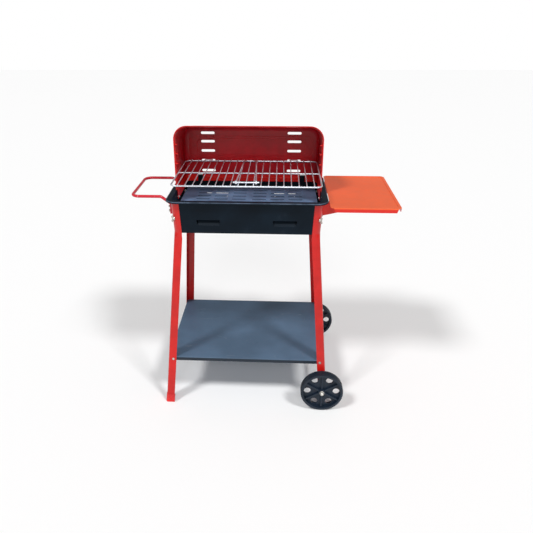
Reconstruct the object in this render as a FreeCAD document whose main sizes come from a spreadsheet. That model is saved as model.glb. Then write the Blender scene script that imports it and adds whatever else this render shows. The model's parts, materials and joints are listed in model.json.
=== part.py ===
import FreeCAD, Part
import math
import os
import Sketcher

# Trolley charcoal barbecue. Millimetres, +Z up, the front faces -Y and the wheels are on the +X side.
# The origin is on the ground under the middle of the whole outline.

doc = FreeCAD.newDocument("Barbecue")

# Driving dimensions: alias, value, meaning.
SIZES = [
    ("centre_x", -51.0, "firebox middle from the middle of the whole outline"),
    ("sheet", 1.2, "thickness of the pressed sheets"),
    ("rim_top", 742.0, "height of the firebox rim"),
    ("rim_half_x", 268.0, "half length of the rim"),
    ("rim_half_y", 174.0, "half depth of the rim"),
    ("rim_radius", 40.0, "corner radius of the rim"),
    ("rim_drop", 6.0, "height of the rim's turned-down edge"),
    ("wall_half_x", 250.0, "half length of the firebox walls at the top"),
    ("wall_half_y", 157.0, "half depth of the firebox walls at the top"),
    ("wall_radius", 22.0, "corner radius of the firebox walls"),
    ("wall_taper", 5.5, "how far each wall comes in on its way down"),
    ("floor_edge", 628.0, "height of the lower edge of the walls"),
    ("floor_dish", 4.0, "depth of the dished floor"),
    ("dish_inset_x", 40.0, "dish from the end walls"),
    ("dish_inset_y", 28.0, "dish from the front and rear walls"),
    ("vent_x", 127.0, "middle of each air vent from the firebox middle"),
    ("vent_top", 675.0, "top of the air vents"),
    ("vent_bottom", 656.0, "bottom of the air vents"),
    ("vent_top_half", 40.5, "half width of an air vent at its top"),
    ("vent_bottom_half", 36.0, "half width of an air vent at its bottom"),
    ("louvre_depth", 12.0, "how far the louvre leans into the firebox"),
    ("grate_top", 700.0, "top of the charcoal grate"),
    ("grate_half_x", 239.0, "half length of the charcoal grate"),
    ("grate_half_y", 146.0, "half depth of the charcoal grate"),
    ("grate_lip", 8.0, "turned-down ends of the charcoal grate"),
    ("grate_slot_long", 50.0, "length of a charcoal grate slot"),
    ("grate_slot_wide", 8.0, "width of a charcoal grate slot"),
    ("grate_row_pitch", 36.0, "spacing of the slot rows"),
    ("grate_column_pitch", 63.5, "spacing of the slot columns"),
    ("grate_column_first", 36.0, "first slot column from the middle"),
    ("ledge_out", 13.0, "width of the ledges that hold the charcoal grate"),
    ("ledge_from", 55.0, "start of a ledge from the middle"),
    ("ledge_to", 90.0, "end of a ledge from the middle"),
    ("shield_front", -38.5, "mouth of the wind shield"),
    ("shield_back", 153.0, "back of the wind shield"),
    ("shield_half", 246.0, "half width of the wind shield"),
    ("shield_top", 955.5, "top of the wind shield behind its lip"),
    ("shield_rear_top", 926.0, "top of the wind shield at its back"),
    ("shield_side_bottom", 708.0, "lower edge of the shield's sides"),
    ("shield_back_bottom", 722.0, "lower edge of the shield's back"),
    ("shield_radius", 42.0, "upper corner radius of the shield"),
    ("shield_bend", 20.0, "bend radius between the shield's back and its walls"),
    ("shield_lip", 4.0, "how far the shield's lip flares out"),
    ("shield_lip_deep", 9.0, "depth of the flared lip"),
    ("notch_from", 181.0, "inner side of the notches in the shield's back"),
    ("notch_to", 200.0, "outer side of the notches"),
    ("notch_top", 749.0, "top of the notches"),
    ("hook_x", 157.5, "middle of the hook slots from the middle"),
    ("hook_slot_long", 50.0, "length of a hook slot"),
    ("hook_slot_wide", 9.0, "height of a hook slot"),
    ("hook_slot_1", 900.5, "height of the highest hook slots"),
    ("hook_slot_2", 870.0, "height of the second hook slots"),
    ("hook_slot_3", 836.0, "height of the third hook slots"),
    ("hook_slot_4", 800.0, "height of the hook slots that hold the grill"),
    ("hook_slot_5", 762.5, "height of the lowest hook slots"),
    ("bolt_notch", 24.0, "width of the cut-outs in the shield's sides that clear the bolts"),
    ("tab_in", 6.0, "width of the tabs that carry the grill's sides"),
    ("tab_from", -36.0, "front of the tabs"),
    ("tab_to", -22.0, "rear of the tabs"),
    ("leg_width", 28.5, "width of each flange of a leg"),
    ("leg_sheet", 1.5, "thickness of a leg"),
    ("leg_top", 735.0, "top of the legs"),
    ("leg_follow", 630.0, "height down to which the legs follow the firebox"),
    ("leg_kink", 606.0, "height where the legs start to splay"),
    ("leg_gap", 0.1, "paint gap between the firebox and the legs"),
    ("leg_soft", 23.8, "outer bend radius of a leg beside the firebox"),
    ("leg_tight", 7.0, "outer bend radius of a leg at the ground"),
    ("foot_x", 293.0, "outer side of a foot from the middle"),
    ("foot_y", 249.5, "front of a foot from the middle"),
    ("cap_high", 30.0, "height of a foot cap"),
    ("cap_wall", 1.8, "wall of a foot cap"),
    ("cap_base", 3.0, "bottom of a foot cap"),
    ("shelf_top", 178.0, "top of the lower shelf"),
    ("shelf_lip", 15.0, "height of the shelf's lips"),
    ("shelf_chamfer", 16.0, "cut at the ends of the shelf's lips"),
    ("shelf_bolt_up", 171.0, "height of the shelf bolts"),
    ("shelf_bolt_in", 18.0, "shelf bolts from the outer side of the legs"),
    ("axle_up", 75.0, "height of the axle"),
    ("axle_x", 271.0, "axle from the firebox middle"),
    ("axle_dia", 8.0, "diameter of the axle"),
    ("wheel_dia", 150.0, "diameter of a wheel"),
    ("wheel_wide", 30.0, "width of a wheel"),
    ("tread_thick", 9.0, "thickness of the wheel's rim"),
    ("web_thick", 5.0, "thickness of the wheel's web"),
    ("hub_dia", 24.0, "diameter of the wheel's hub"),
    ("wheel_hole_dia", 24.0, "diameter of the holes in a wheel"),
    ("wheel_hole_circle", 102.0, "circle of the wheel's holes"),
    ("rib_thick", 5.0, "thickness of a wheel's ribs"),
    ("rib_wide", 20.0, "width of a wheel's ribs across the wheel"),
    ("bore_play", 0.05, "radial play of the wheel on its axle"),
    ("wheel_gap", 3.2, "leg to wheel at the axle"),
    ("washer_thick", 1.2, "thickness of the axle washers"),
    ("washer_dia", 16.0, "diameter of the axle washers"),
    ("tube_dia", 10.0, "diameter of the side handle's tube"),
    ("handle_out", 388.0, "middle of the handle's grip from the firebox middle"),
    ("handle_half", 114.0, "half distance between the handle's arms"),
    ("handle_up", 742.0, "height of the handle"),
    ("handle_low", 684.0, "lower end of the handle's tube"),
    ("handle_bend", 26.0, "bend radius of the grip's corners"),
    ("handle_rise_bend", 14.0, "bend radius where the arms level out"),
    ("handle_foot_bend", 8.0, "bend radius where the arms leave the wall"),
    ("table_in", 271.0, "inner edge of the side table"),
    ("table_out", 495.0, "outer edge of the side table"),
    ("table_half", 190.0, "half length of the side table"),
    ("table_top", 734.0, "height of the side table"),
    ("table_lip", 14.0, "height of the side table's lips"),
    ("table_chamfer", 10.0, "cut at the corners of the side table"),
    ("border_wide", 9.0, "width of the table's raised border"),
    ("border_up", 1.5, "height of the table's raised border"),
    ("bracket_reach", 180.0, "how far a table bracket reaches"),
    ("bracket_flange", 24.0, "width of a bracket's flanges"),
    ("bracket_low", 684.0, "lower end of a table bracket"),
    ("bracket_foot", 6.0, "depth of a bracket at its lower end"),
    ("bracket_nose", 8.0, "height of a bracket at its far end"),
    ("grill_up", 800.0, "height of the cooking grill's frame wire"),
    ("grill_half_x", 241.0, "half width to the middle of the frame wire"),
    ("grill_front", -184.5, "middle of the front wire"),
    ("grill_rear", 143.5, "middle of the rear wire"),
    ("grill_corner", 18.0, "corner radius of the frame wire"),
    ("frame_wire", 5.0, "diameter of the frame wire"),
    ("bar_wire", 3.2, "diameter of the cross bars"),
    ("weld_sink", 0.3, "how far welded wires sink into each other"),
    ("middle_wire", 4.0, "diameter of the middle wire and the hooks"),
    ("middle_wire_y", -27.5, "middle wire under the cross bars"),
    ("hook_half", 14.0, "half width of a hook"),
    ("hook_reach", 12.0, "how far a hook reaches behind the shield"),
    ("hook_bend", 6.0, "bend radius of a hook"),
    ("bail_wire", 5.0, "diameter of the grill handle's wire"),
    ("bail_foot", 32.0, "half width of the grill handle at its hinge"),
    ("bail_tip", 22.0, "half width of the grill handle at its tip"),
    ("bail_hinge_y", -163.0, "grill handle's hinge"),
    ("bail_reach", 112.0, "tip of the grill handle"),
    ("bail_up", 808.2, "height of the grill handle's wire"),
    ("bail_rod_up", 807.5, "height of the rod that the grill handle turns on"),
    ("bail_sleeve", 5.5, "radius of the sleeves on the grill handle's ends"),
    ("sleeve_long", 7.0, "length of the sleeves"),
    ("bail_rod_half", 42.0, "half length of the rod"),
    ("bail_bend", 13.0, "bend radius of the grill handle's tip"),
    ("leg_bolt_up", 678.0, "height of the wing nuts"),
    ("bolt_gap", 15.0, "spacing of the two bolts at each handle end and bracket"),
    ("side_bolt_up", 694.0, "height of the lower handle and bracket bolts"),
    ("screw_up", 714.0, "height of the shield's side screws"),
    ("screw_y", -22.0, "shield's side screws"),
    ("rear_screw_x", 110.0, "shield's rear screws from the middle"),
    ("rear_screw_up", 731.0, "height of the shield's rear screws"),
    ("bolt_dia", 5.0, "diameter of the small bolts"),
    ("leg_bolt_dia", 6.0, "diameter of the leg bolts"),
    ("hole_play", 0.3, "radial play of a bolt in its hole"),
    ("running_gap", 0.3, "gap between parts that move past each other"),
    ("overlap", 1.0, "how far the features of one piece run into each other"),
    ("run_past", 5.0, "how far a cutter runs past what it cuts"),
    ("sheet_bore", 12.0, "length of a bore through sheets"),
    ("tube_bore", 30.0, "length of a bore through the handle's tube and the wall behind it"),
    ("seat_play", 0.2, "gap under a nut on a sloping wall"),
    ("leg_seat", 0.5, "gap under the wing nuts on the rounded legs"),
    ("wing_thick", 2.0, "thickness of the wings of a wing nut"),
]

sheet = doc.addObject("Spreadsheet::Sheet", "Sizes")
for row, (alias, value, meaning) in enumerate(SIZES, start=1):
    sheet.set("A%d" % row, meaning)
    sheet.set("B%d" % row, str(value))
    sheet.setAlias("B%d" % row, alias)
doc.recompute()


def number(expression):
    """The value in millimetres of an expression on the sheet's cells."""
    result = sheet.evalExpression(expression)
    return float(getattr(result, "Value", result))


# ---------------------------------------------------------------- sketch and feature helpers

def new_body(label):
    body = doc.addObject("PartDesign::Body", label)
    body.Label = label
    body.setExpression("Placement.Base.x", "Sizes.centre_x")
    return body


def new_sketch(body, role, offset=None):
    """A sketch on one of the body's own origin planes, moved along its normal by an expression."""
    plane = next(item for item in body.Origin.OriginFeatures if item.Role == role)
    sketch = body.newObject("Sketcher::SketchObject", body.Label + "_sketch")
    sketch.AttachmentSupport = [(plane, "")]
    sketch.MapMode = "FlatFace"
    if offset:
        sketch.setExpression("AttachmentOffset.Base.z", offset)
    return sketch


def bind(sketch, constraint, expression):
    index = sketch.addConstraint(constraint)
    sketch.setExpression("Constraints[%d]" % index, expression)


def outline(sketch, corners, bends=None):
    """A closed outline. corners are pairs of expressions, and bends gives an edge that is an arc
    its radius and +1 where its centre is on the left of the way round, -1 on the right. A half
    circle stands on an upright edge, so its centre is held instead of its radius."""
    bends = bends or {}
    points = [FreeCAD.Vector(number(x), number(y), 0) for x, y in corners]
    first = sketch.GeometryCount
    count = len(points)
    for i, start in enumerate(points):
        end = points[(i + 1) % count]
        if i in bends:
            sketch.addGeometry(arc_between(start, end, number(bends[i][0]), bends[i][1]))
        else:
            sketch.addGeometry(Part.LineSegment(start, end))
    ends = []
    for i in range(count):
        backward = i in bends and bends[i][1] < 0
        ends.append((2, 1) if backward else (1, 2))
    for i in range(count):
        following = (i + 1) % count
        sketch.addConstraint(Sketcher.Constraint(
            "Coincident", first + i, ends[i][1], first + following, ends[following][0]))
    for i, (x, y) in enumerate(corners):
        bind(sketch, Sketcher.Constraint("DistanceX", -1, 1, first + i, ends[i][0], points[i].x), x)
        bind(sketch, Sketcher.Constraint("DistanceY", -1, 1, first + i, ends[i][0], points[i].y), y)
    for i, (radius, _) in bends.items():
        chord = points[(i + 1) % count] - points[i]
        if chord.Length < 1.999 * number(radius):
            bind(sketch, Sketcher.Constraint("Radius", first + i, number(radius)), radius)
        else:
            bind(sketch, Sketcher.Constraint("DistanceX", -1, 1, first + i, 3, points[i].x), corners[i][0])


def arc_between(start, end, radius, side):
    """The short arc from start to end, run anticlockwise as a sketch keeps it."""
    middle = (start + end) * 0.5
    chord = end - start
    left = FreeCAD.Vector(-chord.y, chord.x, 0)
    left.normalize()
    away = math.sqrt(max(radius ** 2 - (chord.Length / 2) ** 2, 0.0))
    centre = middle + left * (away * side)
    first, last = (start, end) if side > 0 else (end, start)
    from_angle = math.atan2(first.y - centre.y, first.x - centre.x)
    to_angle = math.atan2(last.y - centre.y, last.x - centre.x)
    if to_angle <= from_angle:
        to_angle += 2 * math.pi
    circle = Part.Circle(centre, FreeCAD.Vector(0, 0, 1), radius)
    return Part.ArcOfCircle(circle, from_angle, to_angle)


def rounded_rectangle(sketch, x_low, x_high, y_low, y_high, radius):
    """A rectangle with round corners, from expressions."""
    xl, xh, yl, yh, r = ("(%s)" % item for item in (x_low, x_high, y_low, y_high, radius))
    corners = [
        (xl + "+" + r, yl), (xh + "-" + r, yl),
        (xh, yl + "+" + r), (xh, yh + "-" + r),
        (xh + "-" + r, yh), (xl + "+" + r, yh),
        (xl, yh + "-" + r), (xl, yl + "+" + r),
    ]
    outline(sketch, corners, {i: (r, 1) for i in (1, 3, 5, 7)})


def rectangle(sketch, x_low, x_high, y_low, y_high):
    outline(sketch, [(x_low, y_low), (x_high, y_low), (x_high, y_high), (x_low, y_high)])


def slot(sketch, x, y, long, wide):
    """A slot along the sketch's x direction, round at both ends."""
    reach = "((%s)-(%s))/2" % (long, wide)
    half = "(%s)/2" % wide
    corners = [
        ("%s-%s" % (x, reach), "%s-%s" % (y, half)),
        ("%s+%s" % (x, reach), "%s-%s" % (y, half)),
        ("%s+%s" % (x, reach), "%s+%s" % (y, half)),
        ("%s-%s" % (x, reach), "%s+%s" % (y, half)),
    ]
    outline(sketch, corners, {1: (half, 1), 3: (half, 1)})


def circle(sketch, x, y, radius):
    centre = FreeCAD.Vector(number(x), number(y), 0)
    index = sketch.addGeometry(Part.Circle(centre, FreeCAD.Vector(0, 0, 1), number(radius)))
    bind(sketch, Sketcher.Constraint("DistanceX", -1, 1, index, 3, centre.x), x)
    bind(sketch, Sketcher.Constraint("DistanceY", -1, 1, index, 3, centre.y), y)
    bind(sketch, Sketcher.Constraint("Radius", index, number(radius)), radius)


def pad(body, sketch, length, reverse=False, both_ways=False):
    feature = body.newObject("PartDesign::Pad", body.Label + "_pad")
    feature.Profile = sketch
    feature.setExpression("Length", length)
    feature.Reversed = reverse
    feature.Midplane = both_ways
    doc.recompute()
    return feature


def pocket(body, sketch, length, reverse=False, both_ways=False):
    """A pocket that has to take something away."""
    before = body.Shape.Volume
    feature = body.newObject("PartDesign::Pocket", body.Label + "_pocket")
    feature.Profile = sketch
    feature.setExpression("Length", length)
    feature.Reversed = reverse
    feature.Midplane = both_ways
    doc.recompute()
    if body.Shape.Volume >= before:
        raise RuntimeError("a pocket of %s cuts nothing" % body.Label)
    return feature


def loft(body, sketches, subtract=False):
    kind = "SubtractiveLoft" if subtract else "AdditiveLoft"
    feature = body.newObject("PartDesign::" + kind, body.Label + "_loft")
    feature.Profile = sketches[0]
    feature.Sections = sketches[1:]
    feature.Ruled = True
    doc.recompute()
    return feature


def mirror(body, originals, role):
    plane = next(item for item in body.Origin.OriginFeatures if item.Role == role)
    feature = body.newObject("PartDesign::Mirrored", body.Label + "_mirror")
    feature.Originals = originals
    feature.MirrorPlane = (plane, [""])
    body.Tip = feature
    doc.recompute()
    return feature


# ---------------------------------------------------------------- solid helpers

def place(item, x, y, z, turn=None):
    """Put a primitive where its expressions say, in the row's frame, turned by axis and angle."""
    if turn:
        item.Placement.Rotation = FreeCAD.Rotation(FreeCAD.Vector(*turn[0]), turn[1])
    item.setExpression("Placement.Base.x", "Sizes.centre_x + (%s)" % x)
    item.setExpression("Placement.Base.y", y)
    item.setExpression("Placement.Base.z", z)
    return item


ALONG_X = ((0, 1, 0), 90)
AGAINST_X = ((0, 1, 0), -90)
ALONG_Y = ((1, 0, 0), -90)
AGAINST_Y = ((1, 0, 0), 90)


def cylinder(radius, length, at, turn=None):
    item = doc.addObject("Part::Cylinder", "round")
    item.setExpression("Radius", radius)
    item.setExpression("Height", length)
    return place(item, *at, turn)


def prism(radius, length, at, turn=None):
    item = doc.addObject("Part::Prism", "hexagon")
    item.Polygon = 6
    item.setExpression("Circumradius", radius)
    item.setExpression("Height", length)
    return place(item, *at, turn)


def ball(radius, at, turn=None):
    """A half ball, flat side down before it is turned."""
    item = doc.addObject("Part::Sphere", "dome")
    item.setExpression("Radius", radius)
    item.Angle1 = 0
    item.Angle2 = 90
    return place(item, *at, turn)


def fuse(items):
    joined = doc.addObject("Part::MultiFuse", "joined")
    joined.Shapes = items
    return joined


def cut(item, tool):
    result = doc.addObject("Part::Cut", "cut")
    result.Base = item
    result.Tool = tool
    return result


def named(item, label):
    item.Label = label
    return item


def group(items, label):
    """Separate solids that share one node."""
    result = doc.addObject("Part::Compound", label)
    result.Links = items
    result.Label = label
    return result


def bent_wire(points, bends, radius):
    """A round wire along straight runs joined by arcs; bends has one radius for each inner point."""
    points = [FreeCAD.Vector(*point) for point in points]
    edges = []
    start = points[0]
    for i, bend in enumerate(bends, start=1):
        before = (points[i - 1] - points[i]).normalize()
        after = (points[i + 1] - points[i]).normalize()
        half = before.getAngle(after) / 2
        reach = bend / math.tan(half)
        enter = points[i] + before * reach
        leave = points[i] + after * reach
        inward = (before + after).normalize()
        middle = points[i] + inward * (bend / math.sin(half) - bend)
        edges.append(Part.LineSegment(start, enter).toShape())
        edges.append(Part.Arc(enter, middle, leave).toShape())
        start = leave
    edges.append(Part.LineSegment(start, points[-1]).toShape())
    path = Part.Wire(edges)
    direction = points[1] - points[0]
    profile = Part.Wire([Part.Circle(points[0], direction, radius).toShape()])
    return path.makePipeShell([profile], True, False)


def shaped(shape, label):
    """A sub-part whose shape comes straight from Part's functions."""
    item = doc.addObject("Part::Feature", label)
    item.Shape = shape
    item.Placement = FreeCAD.Placement(FreeCAD.Vector(number("Sizes.centre_x"), 0, 0), FreeCAD.Rotation())
    item.Label = label
    return item


# ---------------------------------------------------------------- places that several pieces share

def wall_inset(height):
    """How far the firebox walls have come in at a height."""
    return "Sizes.wall_taper*(Sizes.rim_top-(%s))/(Sizes.rim_top-Sizes.floor_edge)" % height


def leg_corner(height):
    """Outer corner of a leg at a height: beside the firebox, or on the straight lower stretch."""
    if number(height) >= number("Sizes.leg_follow"):
        add = "Sizes.leg_gap + Sizes.leg_sheet - " + wall_inset(height)
        return "(Sizes.wall_half_x + %s)" % add, "(Sizes.wall_half_y + %s)" % add
    share = "(Sizes.leg_kink-(%s))/Sizes.leg_kink" % height
    corner = []
    for wall, foot in (("Sizes.wall_half_x", "Sizes.foot_x"), ("Sizes.wall_half_y", "Sizes.foot_y")):
        kink = "(%s + Sizes.leg_gap + Sizes.leg_sheet - Sizes.wall_taper)" % wall
        corner.append("(%s + (%s - %s)*%s)" % (kink, foot, kink, share))
    return tuple(corner)


WALL_TOP_X = "Sizes.wall_half_x"
WALL_TOP_Y = "Sizes.wall_half_y"
WALL_LOW_X = "(Sizes.wall_half_x-Sizes.wall_taper)"
WALL_LOW_Y = "(Sizes.wall_half_y-Sizes.wall_taper)"
WHEEL_Y = "(%s + Sizes.wheel_gap + Sizes.wheel_wide/2)" % leg_corner("Sizes.axle_up")[1]
SHELF_HALF_X = "(%s - Sizes.leg_sheet - Sizes.leg_gap)" % leg_corner("Sizes.shelf_top")[0]
SHELF_HALF_Y = "(%s - Sizes.leg_sheet - Sizes.leg_gap)" % leg_corner("Sizes.shelf_top")[1]
BOLT_HEAD = "(Sizes.bolt_dia*0.9)"
SIGNS = ((-1, -1), (1, -1), (1, 1), (-1, 1))


def signed(sign, expression):
    return expression if sign > 0 else "-(%s)" % expression


def holes(base, tools, label):
    """The base with all its bolt holes taken out."""
    result = cut(base, fuse(tools))
    return named(result, label)


# Bolt sites: under the head, the way the shank goes, and how much it clamps.

def shelf_sites():
    x = "(%s - Sizes.shelf_bolt_in)" % leg_corner("Sizes.shelf_bolt_up")[0]
    y = leg_corner("Sizes.shelf_bolt_up")[1]
    return [((signed(sx, x), signed(sy, y), "Sizes.shelf_bolt_up"), AGAINST_Y if sy > 0 else ALONG_Y)
            for sx, sy in SIGNS]


def side_sites(sign, out):
    """Two bolts, one above the other, at the front and rear of one side of the firebox."""
    turn = AGAINST_X if sign > 0 else ALONG_X
    heights = ("Sizes.side_bolt_up", "Sizes.side_bolt_up + Sizes.bolt_gap")
    return [((signed(sign, out), signed(sy, "Sizes.handle_half"), height), turn)
            for sy in (-1, 1) for height in heights]


def side_screw_sites():
    inner = "(Sizes.shield_half - Sizes.sheet)"
    return [((signed(sign, inner), "Sizes.screw_y", "Sizes.screw_up"), ALONG_X if sign > 0 else AGAINST_X)
            for sign in (-1, 1)]


def rear_screw_sites():
    inner = "(Sizes.shield_back - Sizes.sheet)"
    return [((signed(sign, "Sizes.rear_screw_x"), inner, "Sizes.rear_screw_up"), ALONG_Y)
            for sign in (-1, 1)]


def leg_bolt_site(sx, sy):
    """Inside a firebox corner, pointing out through it at 45 degrees."""
    tuck = "(Sizes.wall_radius - (Sizes.wall_radius - Sizes.sheet)*sqrt(0.5))"
    x = "(Sizes.wall_half_x - %s - %s)" % (wall_inset("Sizes.leg_bolt_up"), tuck)
    y = "(Sizes.wall_half_y - %s - %s)" % (wall_inset("Sizes.leg_bolt_up"), tuck)
    return (signed(sx, x), signed(sy, y), "Sizes.leg_bolt_up"), ((-sy, sx, 0), 90)


def along(site, distance):
    """The point a distance along the way a site's shank goes."""
    at, turn = site
    way = FreeCAD.Rotation(FreeCAD.Vector(*turn[0]), turn[1]).multVec(FreeCAD.Vector(0, 0, 1))
    return tuple(start if abs(share) < 1e-6 else "(%s) + (%s)*(%.6f)" % (start, distance, share)
                 for start, share in zip(at, way))


def bores(sites, length="Sizes.sheet_bore", dia="Sizes.bolt_dia"):
    """Hole cutters along the shanks, starting a little behind the heads."""
    return [cylinder("%s/2 + Sizes.hole_play" % dia, "%s + Sizes.run_past" % length,
                     along(site, "-Sizes.run_past"), site[1]) for site in sites]


# ---------------------------------------------------------------- firebox and charcoal grate

def firebox():
    """A pressed tray with a dished floor, a wide rim, four louvred vents and ledges for the grate."""
    tray = new_body("firebox_tray")
    low = new_sketch(tray, "XY_Plane", "Sizes.floor_edge")
    rounded_rectangle(low, "-" + WALL_LOW_X, WALL_LOW_X, "-" + WALL_LOW_Y, WALL_LOW_Y, "Sizes.wall_radius")
    top = new_sketch(tray, "XY_Plane", "Sizes.rim_top")
    rounded_rectangle(top, "-" + WALL_TOP_X, WALL_TOP_X, "-" + WALL_TOP_Y, WALL_TOP_Y, "Sizes.wall_radius")
    doc.recompute()
    loft(tray, [low, top])
    dish = new_sketch(tray, "XY_Plane", "Sizes.floor_edge - Sizes.floor_dish")
    dish_x = "(%s - Sizes.dish_inset_x)" % WALL_LOW_X
    dish_y = "(%s - Sizes.dish_inset_y)" % WALL_LOW_Y
    rounded_rectangle(dish, "-" + dish_x, dish_x, "-" + dish_y, dish_y, "Sizes.wall_radius")
    pad(tray, dish, "Sizes.floor_dish")
    flange = new_sketch(tray, "XY_Plane", "Sizes.rim_top - Sizes.sheet")
    rounded_rectangle(flange, "-Sizes.rim_half_x", "Sizes.rim_half_x", "-Sizes.rim_half_y", "Sizes.rim_half_y",
                      "Sizes.rim_radius")
    pad(tray, flange, "Sizes.sheet")
    edge = new_sketch(tray, "XY_Plane", "Sizes.rim_top - Sizes.rim_drop")
    thin_x, thin_y = "(Sizes.rim_half_x - Sizes.sheet)", "(Sizes.rim_half_y - Sizes.sheet)"
    rounded_rectangle(edge, "-Sizes.rim_half_x", "Sizes.rim_half_x", "-Sizes.rim_half_y", "Sizes.rim_half_y",
                      "Sizes.rim_radius")
    rounded_rectangle(edge, "-" + thin_x, thin_x, "-" + thin_y, thin_y, "Sizes.rim_radius - Sizes.sheet")
    pad(tray, edge, "Sizes.rim_drop")
    inside_low = new_sketch(tray, "XY_Plane", "Sizes.floor_edge + Sizes.sheet")
    x, y = "(%s - Sizes.sheet)" % WALL_LOW_X, "(%s - Sizes.sheet)" % WALL_LOW_Y
    rounded_rectangle(inside_low, "-" + x, x, "-" + y, y, "Sizes.wall_radius - Sizes.sheet")
    inside_top = new_sketch(tray, "XY_Plane", "Sizes.rim_top")
    x, y = "(%s - Sizes.sheet)" % WALL_TOP_X, "(%s - Sizes.sheet)" % WALL_TOP_Y
    rounded_rectangle(inside_top, "-" + x, x, "-" + y, y, "Sizes.wall_radius - Sizes.sheet")
    doc.recompute()
    loft(tray, [inside_low, inside_top], subtract=True)
    hollow = new_sketch(tray, "XY_Plane", "Sizes.floor_edge + Sizes.sheet")
    x, y = "(%s - Sizes.sheet)" % dish_x, "(%s - Sizes.sheet)" % dish_y
    rounded_rectangle(hollow, "-" + x, x, "-" + y, y, "Sizes.wall_radius - Sizes.sheet")
    pocket(tray, hollow, "Sizes.floor_dish")
    vents = new_sketch(tray, "XZ_Plane")
    for sign in (-1, 1):
        low, high = "Sizes.vent_bottom_half", "Sizes.vent_top_half"
        corners = [("-" + low, "Sizes.vent_bottom"), (low, "Sizes.vent_bottom"),
                   (high, "Sizes.vent_top"), ("-" + high, "Sizes.vent_top")]
        outline(vents, [("%s + %s" % (signed(sign, "Sizes.vent_x"), x), z) for x, z in corners])
    pocket(tray, vents, "2*Sizes.rim_half_y", both_ways=True)
    louvres(tray)
    ledges(tray)
    tools = bores([leg_bolt_site(sx, sy) for sx, sy in SIGNS], dia="Sizes.leg_bolt_dia")
    tools += bores(handle_sites() + table_sites(), "Sizes.tube_bore")
    tools += bores(side_screw_sites() + rear_screw_sites())
    return holes(tray, tools, "firebox")


def louvres(tray):
    """Plates that lean in from the lower edge of each vent."""
    face = "(Sizes.wall_half_y - %s - Sizes.sheet/2)" % wall_inset("Sizes.vent_bottom")
    tip = "(%s - Sizes.louvre_depth)" % face
    profile = new_sketch(tray, "YZ_Plane", "Sizes.vent_x")
    for sign in (-1, 1):
        corners = [(face, "Sizes.vent_bottom - 2*Sizes.sheet"), (tip, "Sizes.vent_top - 4*Sizes.sheet"),
                   (tip, "Sizes.vent_top - 3*Sizes.sheet"), (face, "Sizes.vent_bottom")]
        corners = [(signed(sign, y), z) for y, z in corners]
        outline(profile, corners)
    plates = pad(tray, profile, "2*Sizes.vent_bottom_half", both_ways=True)
    mirror(tray, [plates], "YZ_Plane")


def ledges(tray):
    """Four ledges on the end walls, just under the turned-down ends of the charcoal grate."""
    top = "(Sizes.grate_top - Sizes.grate_lip - Sizes.running_gap)"
    wall = "(Sizes.wall_half_x - %s - Sizes.sheet/2)" % wall_inset(top)
    for sx in (-1, 1):
        plan = new_sketch(tray, "XY_Plane", top + " - Sizes.sheet")
        for sy in (-1, 1):
            xs = sorted([signed(sx, wall), signed(sx, "(%s - Sizes.ledge_out)" % wall)], key=number)
            ys = sorted([signed(sy, "Sizes.ledge_from"), signed(sy, "Sizes.ledge_to")], key=number)
            rectangle(plan, xs[0], xs[1], ys[0], ys[1])
        pad(tray, plan, "Sizes.sheet")


def charcoal_grate():
    """A sheet with rows of slots and its two ends turned down."""
    plate = new_body("charcoal_grate")
    plan = new_sketch(plate, "XY_Plane", "Sizes.grate_top")
    rounded_rectangle(plan, "-Sizes.grate_half_x", "Sizes.grate_half_x", "-Sizes.grate_half_y",
                      "Sizes.grate_half_y", "Sizes.wall_radius")
    pad(plate, plan, "Sizes.sheet", reverse=True)
    for sx in (-1, 1):
        lip = new_sketch(plate, "XY_Plane", "Sizes.grate_top - Sizes.grate_lip")
        xs = sorted([signed(sx, "Sizes.grate_half_x"), signed(sx, "(Sizes.grate_half_x - Sizes.sheet)")],
                    key=number)
        rectangle(lip, xs[0], xs[1], "-(Sizes.grate_half_y - Sizes.wall_radius)",
                  "Sizes.grate_half_y - Sizes.wall_radius")
        pad(plate, lip, "Sizes.grate_lip")
    row = new_sketch(plate, "XY_Plane", "Sizes.grate_top")
    for sx in (-1, 1):
        for column in range(3):
            x = "(Sizes.grate_column_first + %d*Sizes.grate_column_pitch)" % column
            slot(row, signed(sx, x), "-3*Sizes.grate_row_pitch", "Sizes.grate_slot_long",
                 "Sizes.grate_slot_wide")
    slots = pocket(plate, row, "2*Sizes.sheet")
    rows = plate.newObject("PartDesign::LinearPattern", "slot_rows")
    rows.Originals = [slots]
    rows.Direction = (row, ["V_Axis"])
    rows.setExpression("Length", "6*Sizes.grate_row_pitch")
    rows.Occurrences = 7
    plate.Tip = rows
    return plate


# ---------------------------------------------------------------- wind shield

BEND_FLATS = 5


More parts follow.
